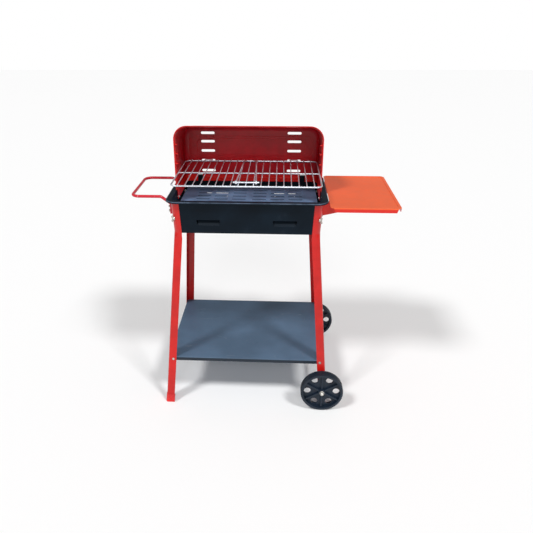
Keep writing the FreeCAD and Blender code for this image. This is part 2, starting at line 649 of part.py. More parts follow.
def shield_pan(label, thin, deeper):
    """The shield's outside, or with thin taken off all round, its inside. Its walls run back from a
    flared lip and turn into the back through a round bend, drawn as a few flats."""
    pan = new_body(label)
    lip_root = "(Sizes.shield_front + Sizes.shield_lip_deep)"
    bend = "(Sizes.shield_bend - %s)" % thin
    sections = [("Sizes.shield_front", "Sizes.shield_lip"), (lip_root, "0")]
    for step in range(BEND_FLATS + 1):
        angle = step * math.pi / 2 / BEND_FLATS
        y = "(Sizes.shield_back - Sizes.shield_bend + %s*%.6f)" % (bend, math.sin(angle))
        sections.append((y, "(-%s*%.6f)" % (bend, 1 - math.cos(angle))))
    bottom = "Sizes.shield_side_bottom - %s" % deeper
    fall = "(Sizes.shield_top - Sizes.shield_rear_top)/(Sizes.shield_back - %s)" % lip_root
    outlines = []
    for y, flare in sections:
        grow = "%s - %s" % (flare, thin)
        half = "(Sizes.shield_half + %s)" % grow
        top = "(Sizes.shield_top - %s*(%s - %s) + %s)" % (fall, y, lip_root, grow)
        radius = "(Sizes.shield_radius + %s)" % grow
        section = new_sketch(pan, "XZ_Plane", "-" + y)
        shoulder, inner = "%s - %s" % (top, radius), "%s - %s" % (half, radius)
        corners = [("-" + half, bottom), (half, bottom), (half, shoulder), (inner, top),
                   ("-(%s)" % inner, top), ("-" + half, shoulder)]
        outline(section, corners, {2: (radius, 1), 4: (radius, 1)})
        outlines.append(section)
    doc.recompute()
    loft(pan, outlines)
    return pan


HOOK_SLOTS = ["Sizes.hook_slot_%d" % level for level in range(1, 6)]


def shield_openings():
    """Cutter for the hook slots, the two notches and the raised lower edge of the back."""
    tool = new_body("shield_openings")
    face = new_sketch(tool, "XZ_Plane", "-(Sizes.shield_back + Sizes.shield_bend)")
    for sx in (-1, 1):
        for z in HOOK_SLOTS:
            slot(face, signed(sx, "Sizes.hook_x"), z, "Sizes.hook_slot_long", "Sizes.hook_slot_wide")
    edge = "(Sizes.shield_half + Sizes.run_past)"
    low, step = "(Sizes.shield_side_bottom - Sizes.run_past)", "Sizes.shield_back_bottom"
    start, end, high = "Sizes.notch_from", "Sizes.notch_to", "Sizes.notch_top"
    right = [(edge, low), (edge, step), (end, step), (end, high), (start, high), (start, step)]
    left = [("-" + x, z) for x, z in reversed(right)]
    outline(face, right + left)
    pad(tool, face, "2*Sizes.shield_bend + Sizes.sheet")
    return tool


def side_notch(start, width, top):
    """Cutter across both of the shield's sides, from below their lower edges up to a height."""
    low = "(Sizes.shield_side_bottom - Sizes.run_past)"
    box = doc.addObject("Part::Box", "side_notch")
    box.setExpression("Length", "2*Sizes.shield_half + 2*Sizes.run_past")
    box.setExpression("Width", width)
    box.setExpression("Height", "%s - %s" % (top, low))
    return place(box, "-Sizes.shield_half - Sizes.run_past", start, low)


def shield_notches():
    """Cutters for the shield's lower edges: its lip ends above the rim, and the bolts stay clear."""
    lip = side_notch("Sizes.shield_front - Sizes.run_past", "Sizes.shield_lip_deep + Sizes.run_past",
                     "Sizes.rim_top + Sizes.running_gap")
    bolts = side_notch("Sizes.handle_half + Sizes.bracket_flange/8 - Sizes.bolt_notch/2", "Sizes.bolt_notch",
                       "Sizes.side_bolt_up + Sizes.bolt_gap + Sizes.bolt_dia*1.2")
    return [lip, bolts]


def shield_tabs():
    """Small tabs on the shield's sides, under the grill's side wires at each of the five levels."""
    tabs = []
    overlap = "Sizes.sheet/2"
    for grill in HOOK_SLOTS:
        top = "(%s - Sizes.frame_wire/2 - Sizes.running_gap)" % grill
        for x in ("-(Sizes.shield_half - %s)" % overlap, "Sizes.shield_half - Sizes.sheet - Sizes.tab_in"):
            tab = doc.addObject("Part::Box", "tab")
            tab.setExpression("Length", "Sizes.tab_in + " + overlap)
            tab.setExpression("Width", "Sizes.tab_to - Sizes.tab_from")
            tab.setExpression("Height", "Sizes.sheet")
            tabs.append(place(tab, x, "Sizes.tab_from", top + " - Sizes.sheet"))
    return tabs


def wind_shield():
    """A deep pan standing in the firebox, with hook slots in its back and tabs on its sides."""
    outside = shield_pan("shield_outside", "0", "0")
    shell = cut(outside, shield_pan("shield_inside", "Sizes.sheet", "Sizes.run_past"))
    tools = [shield_openings()] + shield_notches()
    tools += bores(side_screw_sites() + rear_screw_sites())
    return holes(fuse([shell] + shield_tabs()), tools, "wind_shield")


# ---------------------------------------------------------------- legs, feet and shelf

def angle_profile(sketch, sx, sy, corner, width, thick, radius):
    """An angle section whose outer corner is at corner, opening towards the middle."""
    across, down = ("(%s)" % item for item in corner)
    steps = [(width, "0"), (radius, "0"), ("0", radius), ("0", width),
             (thick, width), (thick, radius), (radius, thick), (width, thick)]
    corners = [(signed(sx, "(%s - (%s))" % (across, u)), signed(sy, "(%s - (%s))" % (down, v)))
               for u, v in steps]
    side = sx * sy
    outline(sketch, corners, {1: (radius, -side), 5: ("%s - %s" % (radius, thick), side)})


def leg(label, sx, sy, bottom):
    """A folded angle that follows the firebox and then splays to the ground."""
    strip = new_body(label + "_strip")
    levels = (("Sizes.leg_top", "Sizes.leg_soft"), ("Sizes.leg_follow", "Sizes.leg_soft"),
              ("Sizes.leg_kink", "Sizes.leg_tight"), (bottom, "Sizes.leg_tight"))
    sections = []
    for height, radius in levels:
        section = new_sketch(strip, "XY_Plane", height)
        angle_profile(section, sx, sy, leg_corner(height), "Sizes.leg_width", "Sizes.leg_sheet", radius)
        sections.append(section)
    doc.recompute()
    loft(strip, sections)
    tools = bores([leg_bolt_site(sx, sy)], dia="Sizes.leg_bolt_dia")
    tools += bores([site for site in shelf_sites() if near(site, sx, sy)])
    if sx > 0:
        axle_end = ("Sizes.axle_x", signed(sy, WHEEL_Y), "Sizes.axle_up")
        tools += bores([(axle_end, AGAINST_Y if sy > 0 else ALONG_Y)], "2*Sizes.wheel_wide", "Sizes.axle_dia")
    return holes(strip, tools, label)


def near(site, sx, sy):
    """Whether a site is in the given corner."""
    x, y, _ = site[0]
    return number(x) * sx > 0 and number(y) * sy > 0


def foot_cap(label, sx, sy):
    """A plastic boot over the end of a leg."""
    boot = new_body(label)
    extra = "Sizes.cap_wall"

    def section(height, add):
        sketch = new_sketch(boot, "XY_Plane", height)
        corner = ["(%s + %s)" % (item, add) for item in leg_corner(height)]
        angle_profile(sketch, sx, sy, corner, "Sizes.leg_width + 2*%s" % add, "Sizes.leg_sheet + 2*%s" % add,
                      "Sizes.leg_tight + %s" % add)
        return sketch

    outside = [section(height, extra) for height in ("0", "Sizes.cap_high")]
    doc.recompute()
    loft(boot, outside)
    inside = [section(height, "0") for height in ("Sizes.cap_base", "Sizes.cap_high")]
    doc.recompute()
    loft(boot, inside, subtract=True)
    return boot


def lower_shelf():
    """A sheet with its four edges turned down and the ends of the lips cut at an angle."""
    tray = new_body("shelf_sheet")
    plan = new_sketch(tray, "XY_Plane", "Sizes.shelf_top")
    rounded_rectangle(plan, "-" + SHELF_HALF_X, SHELF_HALF_X, "-" + SHELF_HALF_Y, SHELF_HALF_Y,
                      "Sizes.leg_tight")
    pad(tray, plan, "Sizes.sheet", reverse=True)
    low, high = "(Sizes.shelf_top - Sizes.shelf_lip)", "Sizes.shelf_top - Sizes.sheet/2"
    sides = (("XZ_Plane", SHELF_HALF_X, SHELF_HALF_Y), ("YZ_Plane", SHELF_HALF_Y, SHELF_HALF_X))
    for role, half, out in sides:
        for sign in (-1, 1):
            offset = signed(sign, out) if sign > 0 else "-(%s - Sizes.sheet)" % out
            lip = new_sketch(tray, role, offset)
            top_half = "(%s - Sizes.leg_tight)" % half
            low_half = "(%s - Sizes.shelf_chamfer)" % top_half
            outline(lip, [("-" + low_half, low), (low_half, low), (top_half, high), ("-" + top_half, high)])
            pad(tray, lip, "Sizes.sheet", reverse=True)
    return holes(tray, bores(shelf_sites()), "lower_shelf")


# ---------------------------------------------------------------- axle and wheels

def wheel(label, sign):
    """A moulded wheel: tread, web with six holes, six ribs between them and a hub."""
    moulding = new_body(label)
    moulding.setExpression("Placement.Base.x", "Sizes.centre_x + Sizes.axle_x")
    moulding.setExpression("Placement.Base.y", signed(sign, WHEEL_Y))
    moulding.setExpression("Placement.Base.z", "Sizes.axle_up")
    bore = "Sizes.axle_dia/2 + Sizes.bore_play"
    inner = "(Sizes.wheel_dia/2 - Sizes.tread_thick)"
    tread = new_sketch(moulding, "XZ_Plane")
    circle(tread, "0", "0", "Sizes.wheel_dia/2")
    circle(tread, "0", "0", inner)
    pad(moulding, tread, "Sizes.wheel_wide", both_ways=True)
    web = new_sketch(moulding, "XZ_Plane")
    circle(web, "0", "0", inner + " + Sizes.overlap")
    circle(web, "0", "0", bore)
    pad(moulding, web, "Sizes.web_thick", both_ways=True)
    hub = new_sketch(moulding, "XZ_Plane")
    circle(hub, "0", "0", "Sizes.hub_dia/2")
    circle(hub, "0", "0", bore)
    pad(moulding, hub, "Sizes.wheel_wide", both_ways=True)
    rib = new_sketch(moulding, "XZ_Plane")
    rectangle(rib, "-Sizes.rib_thick/2", "Sizes.rib_thick/2", "Sizes.hub_dia/2 - Sizes.overlap",
              inner + " + Sizes.overlap")
    first = pad(moulding, rib, "Sizes.rib_wide", both_ways=True)
    polar(moulding, first)
    hole = new_sketch(moulding, "XZ_Plane")
    circle(hole, "Sizes.wheel_hole_circle/2", "0", "Sizes.wheel_hole_dia/2")
    opening = pocket(moulding, hole, "2*Sizes.wheel_wide", both_ways=True)
    polar(moulding, opening)
    return moulding


def polar(body, feature):
    """Six of a feature round the body's Y axis."""
    axis = next(item for item in body.Origin.OriginFeatures if item.Role == "Y_Axis")
    pattern = body.newObject("PartDesign::PolarPattern", body.Label + "_six")
    pattern.Originals = [feature]
    pattern.Axis = (axis, [""])
    pattern.Angle = 360
    pattern.Occurrences = 6
    body.Tip = pattern
    doc.recompute()
    return pattern


NUT_THICK = "(Sizes.axle_dia*0.6)"
HUB_END = "(%s + Sizes.wheel_wide/2 + Sizes.running_gap)" % WHEEL_Y
AXLE_END = "(%s + Sizes.washer_thick + %s)" % (HUB_END, NUT_THICK)


def axle():
    start = ("Sizes.axle_x", "-" + AXLE_END, "Sizes.axle_up")
    rod = cylinder("Sizes.axle_dia/2", "2*" + AXLE_END, start, ALONG_Y)
    return named(rod, "axle")


def axle_washers():
    """A washer on each side of each wheel."""
    rings = []
    for sign in (-1, 1):
        turn = ALONG_Y if sign > 0 else AGAINST_Y
        for start in (HUB_END, "2*%s - %s - Sizes.washer_thick" % (WHEEL_Y, HUB_END)):
            at = ("Sizes.axle_x", signed(sign, start), "Sizes.axle_up")
            ring = cylinder("Sizes.washer_dia/2", "Sizes.washer_thick", at, turn)
            rings.append(cut(ring, cylinder("Sizes.axle_dia/2", "Sizes.washer_thick", at, turn)))
    return group(rings, "axle_washers")


def axle_cap_nuts():
    """Domed nuts on both ends of the axle."""
    nuts = []
    for sign in (-1, 1):
        turn = ALONG_Y if sign > 0 else AGAINST_Y
        base = signed(sign, "%s - %s" % (AXLE_END, NUT_THICK))
        at = ("Sizes.axle_x", base, "Sizes.axle_up")
        end = ("Sizes.axle_x", signed(sign, AXLE_END), "Sizes.axle_up")
        nut = fuse([prism("Sizes.axle_dia*0.95", NUT_THICK, at, turn), ball("Sizes.axle_dia*0.8", end, turn)])
        nuts.append(cut(nut, cylinder("Sizes.axle_dia/2", NUT_THICK, at, turn)))
    return group(nuts, "axle_cap_nuts")


# ---------------------------------------------------------------- side handle and side table

TUBE_X = "(Sizes.wall_half_x + Sizes.running_gap + Sizes.tube_dia/2)"


def side_handle():
    """One bent tube: up from its lower bolts, out under the rim, along the grip and back."""
    wall = number(TUBE_X)
    half = number("Sizes.handle_half")
    high = number("Sizes.handle_up")
    low = number("Sizes.handle_low")
    bend = number("Sizes.handle_bend")
    radius = number("Sizes.tube_dia/2")
    under_rim = number("Sizes.rim_top - Sizes.rim_drop - Sizes.tube_dia*1.8")
    clear_of_rim = number("Sizes.rim_half_x + Sizes.tube_dia*2")
    grip = number("Sizes.handle_out")
    arm = [(-wall, low), (-wall, under_rim), (-clear_of_rim, high), (-grip, high)]
    points = [(x, -half, z) for x, z in arm] + [(x, half, z) for x, z in reversed(arm)]
    foot, rise = number("Sizes.handle_foot_bend"), number("Sizes.handle_rise_bend")
    bends = [foot, rise, bend, bend, rise, foot]
    shape = bent_wire(points, bends, radius).cut(bent_wire(points, bends, radius - number("Sizes.sheet")))
    return holes(shaped(shape, "handle_tube"), bores(handle_sites(), "Sizes.tube_bore"), "side_handle")


def handle_sites():
    return side_sites(-1, "(%s + Sizes.tube_dia/2)" % TUBE_X)


def side_table():
    """A sheet tray with a raised border and three turned-down lips."""
    tray = new_body("side_table")
    plan = new_sketch(tray, "XY_Plane", "Sizes.table_top")
    table_outline(plan, "0")
    pad(tray, plan, "Sizes.sheet", reverse=True)
    border = new_sketch(tray, "XY_Plane", "Sizes.table_top")
    table_outline(border, "0")
    table_outline(border, "Sizes.border_wide")
    pad(tray, border, "Sizes.border_up")
    low = "(Sizes.table_top - Sizes.table_lip)"
    start, end = "(Sizes.table_in + Sizes.table_chamfer)", "(Sizes.table_out - Sizes.table_chamfer)"
    for sign in (-1, 1):
        offset = "Sizes.table_half" if sign > 0 else "-(Sizes.table_half - Sizes.sheet)"
        lip = new_sketch(tray, "XZ_Plane", offset)
        outline(lip, [(start + " + Sizes.table_chamfer/2", low), (end + " - Sizes.table_chamfer/2", low),
                      (end, "Sizes.table_top - Sizes.sheet/2"), (start, "Sizes.table_top - Sizes.sheet/2")])
        pad(tray, lip, "Sizes.sheet", reverse=True)
    half = "(Sizes.table_half - Sizes.table_chamfer)"
    lip = new_sketch(tray, "YZ_Plane", "Sizes.table_out")
    outline(lip, [("-" + half + " + Sizes.table_chamfer/2", low), (half + " - Sizes.table_chamfer/2", low),
                  (half, "Sizes.table_top - Sizes.sheet/2"), ("-" + half, "Sizes.table_top - Sizes.sheet/2")])
    pad(tray, lip, "Sizes.sheet", reverse=True)
    return tray


def table_outline(sketch, inset):
    """The table's plan with its corners cut, moved in all round."""
    low, high = "(Sizes.table_in + %s)" % inset, "(Sizes.table_out - %s)" % inset
    half, snip = "(Sizes.table_half - %s)" % inset, "Sizes.table_chamfer"
    outline(sketch, [(low + " + " + snip, "-" + half), (high + " - " + snip, "-" + half),
                     (high, "-" + half + " + " + snip), (high, half + " - " + snip),
                     (high + " - " + snip, half), (low + " + " + snip, half),
                     (low, half + " - " + snip), (low, "-" + half + " + " + snip)])


BRACKET_X = "(Sizes.wall_half_x + Sizes.running_gap)"
BRACKET_TOP = "(Sizes.table_top - Sizes.sheet)"


def table_bracket(label, sign):
    """A folded bracket: a flange on the firebox, a tapered arm and a flange under the table."""
    arm = new_body(label + "_sheet")
    middle = signed(sign, "Sizes.handle_half")
    thick = "Sizes.leg_sheet"
    web = new_sketch(arm, "XZ_Plane", signed(-sign, "Sizes.handle_half"))
    end = "(%s + Sizes.bracket_reach)" % BRACKET_X
    outline(web, [(BRACKET_X, "Sizes.bracket_low"), (BRACKET_X + " + Sizes.bracket_foot", "Sizes.bracket_low"),
                  (end, BRACKET_TOP + " - Sizes.bracket_nose"), (end, BRACKET_TOP),
                  (BRACKET_X, BRACKET_TOP)])
    pad(arm, web, thick, both_ways=True)
    plate = new_sketch(arm, "YZ_Plane", BRACKET_X)
    low, high = "(%s - Sizes.bracket_flange/2)" % middle, "(%s + Sizes.bracket_flange/2)" % middle
    rectangle(plate, low, high, "Sizes.bracket_low", BRACKET_TOP)
    pad(arm, plate, thick)
    seat = new_sketch(arm, "XY_Plane", BRACKET_TOP)
    rectangle(seat, "Sizes.table_in", end, low, high)
    pad(arm, seat, thick, reverse=True)
    sites = [site for site in table_sites() if number(site[0][1]) * sign > 0]
    return holes(arm, bores(sites), label)


def table_sites():
    sites = side_sites(1, "(%s + Sizes.leg_sheet)" % BRACKET_X)
    shift = "Sizes.bracket_flange/4"
    return [((x, "%s + %s" % (y, shift), z), turn) for (x, y, z), turn in sites]


# ---------------------------------------------------------------- cooking grill and its handle

def grill_frame():
    """A closed ring of wire with two hooks behind it that reach into the shield's slots."""
    half = number("Sizes.grill_half_x")
    front = number("Sizes.grill_front")
    rear = number("Sizes.grill_rear")
    height = number("Sizes.grill_up")
    corner = number("Sizes.grill_corner")
    radius = number("Sizes.frame_wire/2")
    points = [(0, front, height), (half, front, height), (half, rear, height),
              (-half, rear, height), (-half, front, height), (0, front, height)]
    return shaped(bent_wire(points, [corner] * 4, radius), "grill_frame")


def grill_hooks():
    """Two U-shaped wires welded behind the rear wire."""
    middle = number("Sizes.hook_x")
    half = number("Sizes.hook_half")
    start = number("Sizes.grill_rear + Sizes.frame_wire/2 - Sizes.weld_sink")
    end = number("Sizes.shield_back + Sizes.hook_reach")
    height = number("Sizes.grill_up")
    hooks = []
    for sign in (-1, 1):
        x = sign * middle
        points = [(x - half, start, height), (x - half, end, height), (x + half, end, height),
                  (x + half, start, height)]
        hooks.append(bent_wire(points, [number("Sizes.hook_bend")] * 2, number("Sizes.middle_wire/2")))
    return shaped(Part.makeCompound(hooks), "grill_hooks")


def grill_bars():
    """Nineteen cross bars welded on top of the frame."""
    up = "(Sizes.grill_up + Sizes.frame_wire/2 + Sizes.bar_wire/2 - Sizes.weld_sink)"
    bars = []
    for i in range(-9, 10):
        at = ("%d*Sizes.grill_half_x/10" % i, "Sizes.grill_front - 1", up)
        bars.append(cylinder("Sizes.bar_wire/2", "Sizes.grill_rear - Sizes.grill_front + 2", at, ALONG_Y))
    return group(bars, "grill_bars")


def grill_middle_wire():
    reach = "(Sizes.grill_half_x - Sizes.frame_wire/2 + Sizes.weld_sink)"
    at = ("-" + reach, "Sizes.middle_wire_y", "Sizes.grill_up + Sizes.frame_wire/2 - Sizes.middle_wire/2")
    return named(cylinder("Sizes.middle_wire/2", "2*" + reach, at, ALONG_X), "grill_middle_wire")


def grill_handle_rod():
    at = ("-Sizes.bail_rod_half", "Sizes.bail_hinge_y", "Sizes.bail_rod_up")
    return named(cylinder("Sizes.frame_wire/2", "2*Sizes.bail_rod_half", at, ALONG_X), "grill_handle_rod")


def grill_handle():
    """A long wire bail with a sleeve on each end that turns on the rod."""
    up = number("Sizes.bail_up")
    hinge = number("Sizes.bail_hinge_y")
    foot = number("Sizes.bail_foot")
    tip = number("Sizes.bail_tip")
    reach = number("Sizes.bail_reach")
    bend = number("Sizes.bail_bend")
    points = [(-foot, hinge, up), (-tip, reach, up), (tip, reach, up), (foot, hinge, up)]
    wire = shaped(bent_wire(points, [bend, bend], number("Sizes.bail_wire/2")), "bail_wire")
    sleeves = []
    bores_in_sleeves = []
    for sign in (-1, 1):
        at = ("%s - Sizes.sleeve_long/2" % signed(sign, "Sizes.bail_foot"), "Sizes.bail_hinge_y",
              "Sizes.bail_rod_up")
        sleeves.append(cylinder("Sizes.bail_sleeve", "Sizes.sleeve_long", at, ALONG_X))
        bores_in_sleeves.append(
            cylinder("Sizes.frame_wire/2 + Sizes.bore_play", "Sizes.sleeve_long", at, ALONG_X))
    return holes(fuse([wire] + sleeves), bores_in_sleeves, "grill_handle")


# ---------------------------------------------------------------- fasteners

def bolt(site, grip, dia, dome=False):
    """A bolt whose head sits at the site, with its shank reaching past what it clamps."""
    turn = site[1]
    length = "(%s) + (%s)" % (grip, dia)
    shank = cylinder("%s/2" % dia, length, site[0], turn)
    if dome:
        back = (turn[0], turn[1] - 180)
        return fuse([ball("%s*0.9" % dia, site[0], back), shank])
    head = prism("%s*0.9" % dia, "%s*0.65" % dia, along(site, "-(%s*0.65)" % dia), turn)
    return fuse([head, shank])


def nut(site, grip, dia):
    at = along(site, grip)
    thick = "%s*0.8" % dia
    return cut(prism("%s*0.9" % dia, thick, at, site[1]), cylinder("%s/2" % dia, thick, at, site[1]))


def bolts_and_nuts(stem, sites, grip, dia="Sizes.bolt_dia", dome=False):
    return [group([bolt(site, grip, dia, dome) for site in sites], stem + "s"),
            group([nut(site, grip, dia) for site in sites], stem + "_nuts")]


LEG_GRIP = "(Sizes.sheet + Sizes.leg_gap + Sizes.leg_sheet + Sizes.leg_seat)"


def leg_bolts():
    sites = [leg_bolt_site(sx, sy) for sx, sy in SIGNS]
    return group([bolt(site, LEG_GRIP, "Sizes.leg_bolt_dia", dome=True) for site in sites], "leg_bolts")


def wing_nut(sx, sy):
    """A tapered boss with a round wing above it and another below."""
    site = leg_bolt_site(sx, sy)
    dia = "Sizes.leg_bolt_dia"
    base = along(site, LEG_GRIP)
    boss = doc.addObject("Part::Cone", "boss")
    boss.setExpression("Radius1", dia)
    boss.setExpression("Radius2", dia + "*0.75")
    boss.setExpression("Height", dia + "*0.9")
    place(boss, *base, site[1])
    edge_on = ((-sx, -sy, 0), 90)
    wings = []
    for side in (-1, 1):
        x, y, z = along(site, "%s + %s*0.95" % (LEG_GRIP, dia))
        middle = (x, y, "%s + %s" % (z, signed(side, dia + "*1.15")))
        start = along((middle, edge_on), "-Sizes.wing_thick/2")
        wings.append(cylinder(dia + "*0.72", "Sizes.wing_thick", start, edge_on))
    return cut(fuse([boss] + wings), cylinder(dia + "/2", dia + "*2", base, site[1]))


def wing_nuts():
    return group([wing_nut(sx, sy) for sx, sy in SIGNS], "wing_nuts")


def fasteners():
    wall = "(Sizes.running_gap + %s + Sizes.sheet + Sizes.seat_play)" % wall_inset("Sizes.side_bolt_up")
    handle_grip = "(Sizes.tube_dia + %s)" % wall
    table_grip = "(Sizes.leg_sheet + %s)" % wall
    side_grip = "(Sizes.wall_half_x - Sizes.shield_half + Sizes.sheet)"
    rear_grip = "(Sizes.wall_half_y - Sizes.shield_back + Sizes.sheet)"
    shelf_grip = "(3*Sizes.leg_sheet + Sizes.sheet)"
    made = [leg_bolts(), wing_nuts()]
    made += bolts_and_nuts("shelf_bolt", shelf_sites(), shelf_grip)
    made += bolts_and_nuts("handle_bolt", handle_sites(), handle_grip)
    made += bolts_and_nuts("table_bolt", table_sites(), table_grip)
    made += bolts_and_nuts("shield_side_screw", side_screw_sites(), side_grip, dome=True)
    made += bolts_and_nuts("shield_rear_screw", rear_screw_sites(), rear_grip, dome=True)
    return made


# ---------------------------------------------------------------- the whole barbecue

def barbecue():
    leg_end = "Sizes.cap_base"
    wheel_leg_end = "(Sizes.axle_up - 14)"
    parts = [firebox(), charcoal_grate(), wind_shield()]
    parts += [leg("leg_front_left", -1, -1, leg_end), leg("leg_rear_left", -1, 1, leg_end)]
    parts += [leg("leg_front_right", 1, -1, wheel_leg_end), leg("leg_rear_right", 1, 1, wheel_leg_end)]
    parts += [foot_cap("foot_cap_front", -1, -1), foot_cap("foot_cap_rear", -1, 1), lower_shelf()]
    parts += [axle(), axle_washers(), axle_cap_nuts(), wheel("wheel_front", -1), wheel("wheel_rear", 1)]
    parts += [side_handle(), side_table()]
    parts += [table_bracket("table_bracket_front", -1), table_bracket("table_bracket_rear", 1)]
    parts += [grill_frame(), grill_bars(), grill_middle_wire(), grill_hooks()]
    parts += [grill_handle_rod(), grill_handle()]
    parts += fasteners()
    return parts


def check(parts):
    """Stop if anything failed to build."""
    doc.recompute()
    for item in doc.Objects:
        if "Invalid" in item.State or "Error" in item.State:
            raise RuntimeError("%s failed: %s" % (item.Label, item.State))
    for part in parts:
        if part.Shape.isNull() or not part.Shape.isValid():
            raise RuntimeError("%s has no valid shape" % part.Label)


pieces = barbecue()
check(pieces)
os.makedirs("parts", exist_ok=True)
for piece in pieces:
    piece.Shape.exportStep(os.path.join("parts", piece.Label + ".step"))
    solids = piece.Shape.Solids
    print("%-24s %2d solids %10.1f mm3" % (piece.Label, len(solids), sum(item.Volume for item in solids)))
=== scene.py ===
import json
import math

import bmesh
import bpy
from bpy.props import FloatProperty, FloatVectorProperty, IntProperty, PointerProperty
from mathutils import Matrix, Vector


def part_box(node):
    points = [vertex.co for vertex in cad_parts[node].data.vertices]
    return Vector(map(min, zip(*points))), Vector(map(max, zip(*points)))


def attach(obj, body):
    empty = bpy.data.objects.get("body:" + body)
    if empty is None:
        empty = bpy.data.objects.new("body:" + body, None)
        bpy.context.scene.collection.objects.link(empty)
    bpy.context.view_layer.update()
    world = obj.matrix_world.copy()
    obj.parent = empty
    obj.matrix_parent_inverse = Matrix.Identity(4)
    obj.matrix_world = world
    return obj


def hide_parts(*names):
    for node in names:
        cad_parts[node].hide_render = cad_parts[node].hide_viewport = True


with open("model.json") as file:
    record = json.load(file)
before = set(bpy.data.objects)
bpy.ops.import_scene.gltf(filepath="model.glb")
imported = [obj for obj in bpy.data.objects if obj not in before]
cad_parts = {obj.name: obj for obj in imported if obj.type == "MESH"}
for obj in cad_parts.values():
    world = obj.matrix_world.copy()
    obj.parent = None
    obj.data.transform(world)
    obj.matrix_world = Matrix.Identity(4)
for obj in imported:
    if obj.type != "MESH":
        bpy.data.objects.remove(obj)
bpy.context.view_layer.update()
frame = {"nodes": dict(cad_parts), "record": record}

bl_info = {
    "name": "Trolley Barbecue",
    "version": (1, 0, 0),
    "blender": (4, 5, 0),
    "location": "3D View > Sidebar > Barbecue",
    "description": "Builds the looks of a charcoal trolley barbecue round its fixed frame",
    "category": "Object",
}


# ---------------------------------------------------------------- what a user may change

class BarbecueSizes(bpy.types.PropertyGroup):
    sheet_edge: FloatProperty(
        name="Sheet edge", description="Rounding of the cut edges of the pressed sheets",
        default=0.00035, min=0.0, unit="LENGTH", subtype="DISTANCE")
    rim_roll: FloatProperty(
        name="Rim roll", description="Rounding of the firebox rim's outer edge",
        default=0.0028, min=0.0, unit="LENGTH", subtype="DISTANCE")
    moulded_edge: FloatProperty(
        name="Moulded edge", description="Rounding of the edges of the plastic pieces",
        default=0.0009, min=0.0, unit="LENGTH", subtype="DISTANCE")
    bead_radius: FloatProperty(
        name="Pressed line", description="Radius of the lines pressed into the wind shield",
        default=0.00125, min=0.0, unit="LENGTH", subtype="DISTANCE")
    tread_depth: FloatProperty(
        name="Tread depth", description="Depth of the grooves between the tread blocks",
        default=0.0011, min=0.0, unit="LENGTH", subtype="DISTANCE")
    tread_blocks: IntProperty(
        name="Tread blocks", description="Tread blocks in each row round a wheel",
        default=84, min=12)


class BarbecueColours(bpy.types.PropertyGroup):
    shield: FloatVectorProperty(
        name="Wind shield", description="Enamel inside and outside the wind shield",
        default=(0.56, 0.007, 0.014), size=3, min=0.0, max=1.0, subtype="COLOR")
    # Painted light: a brighter red on the wind shield's foot, where light falls below the roof's
    # shade.
    shield_lit_foot: FloatVectorProperty(
        name="Wind shield's foot",
        description="Brighter enamel at the lower edge of the wind shield",
        default=(0.88, 0.016, 0.010), size=3, min=0.0, max=1.0, subtype="COLOR")
    # Painted shade: a darker red on the side table's lips and brackets, under its lit top.
    shaded_table_lip: FloatVectorProperty(
        name="Table's lips", description="Deeper enamel on the side table's lips and brackets",
        default=(0.66, 0.018, 0.010), size=3, min=0.0, max=1.0, subtype="COLOR")
    leg: FloatVectorProperty(
        name="Legs", description="Enamel of the legs",
        default=(0.53, 0.009, 0.007), size=3, min=0.0, max=1.0, subtype="COLOR")
    cap: FloatVectorProperty(
        name="Foot caps", description="Plastic of the foot caps",
        default=(0.62, 0.02, 0.02), size=3, min=0.0, max=1.0, subtype="COLOR")
    handle: FloatVectorProperty(
        name="Side handle", description="Enamel of the side handle",
        default=(0.55, 0.014, 0.030), size=3, min=0.0, max=1.0, subtype="COLOR")
    table: FloatVectorProperty(
        name="Side table", description="Enamel of the side table's top",
        default=(0.86, 0.130, 0.036), size=3, min=0.0, max=1.0, subtype="COLOR")
    firebox: FloatVectorProperty(
        name="Firebox", description="Heatproof paint of the firebox",
        default=(0.0032, 0.0085, 0.0155), size=3, min=0.0, max=1.0, subtype="COLOR")
    grate: FloatVectorProperty(
        name="Charcoal grate", description="Heatproof paint of the charcoal grate",
        default=(0.115, 0.195, 0.320), size=3, min=0.0, max=1.0, subtype="COLOR")
    shelf: FloatVectorProperty(
        name="Lower shelf", description="Paint of the lower shelf",
        default=(0.080, 0.132, 0.205), size=3, min=0.0, max=1.0, subtype="COLOR")
    wheel: FloatVectorProperty(
        name="Wheels", description="Plastic of the wheels",
        default=(0.0075, 0.015, 0.028), size=3, min=0.0, max=1.0, subtype="COLOR")
    chrome: FloatVectorProperty(
        name="Grill wire", description="Bright plating of the cooking grill",
        default=(0.78, 0.82, 0.90), size=3, min=0.0, max=1.0, subtype="COLOR")
    zinc: FloatVectorProperty(
        name="Fasteners", description="Zinc plating of the fasteners and the axle",
        default=(0.60, 0.58, 0.54), size=3, min=0.0, max=1.0, subtype="COLOR")
    bare: FloatVectorProperty(
        name="Bare metal", description="Steel where paint has worn off",
        default=(0.42, 0.40, 0.38), size=3, min=0.0, max=1.0, subtype="COLOR")


# ---------------------------------------------------------------- shader maths

class Signal:
    """An output socket. Arithmetic on it adds Math nodes to its finish."""

    def __init__(self, finish, socket):
        self.finish = finish
        self.socket = socket

    def math(self, operation, first, second):
        settings = {"operation": operation}
        return self.finish.node("ShaderNodeMath", settings, {0: first, 1: second})[0]

    def __add__(self, other):
        return self.math("ADD", self, other)

    __radd__ = __add__

    def __sub__(self, other):
        return self.math("SUBTRACT", self, other)

    def __rsub__(self, other):
        return self.math("SUBTRACT", other, self)

    def __mul__(self, other):
        return self.math("MULTIPLY", self, other)

    __rmul__ = __mul__

    def above(self, low, high):
        """0 below low, 1 above high and smooth between."""
        settings = {"interpolation_type": "SMOOTHSTEP"}
        inputs = {0: self, 1: low, 2: high, 3: 0.0, 4: 1.0}
        return self.finish.node("ShaderNodeMapRange", settings, inputs)[0]


class Made:
    """A node's outputs, by name or number, as signals."""

    def __init__(self, finish, node):
        self.finish = finish
        self.node = node

    def __getitem__(self, key):
        return Signal(self.finish, self.node.outputs[key])


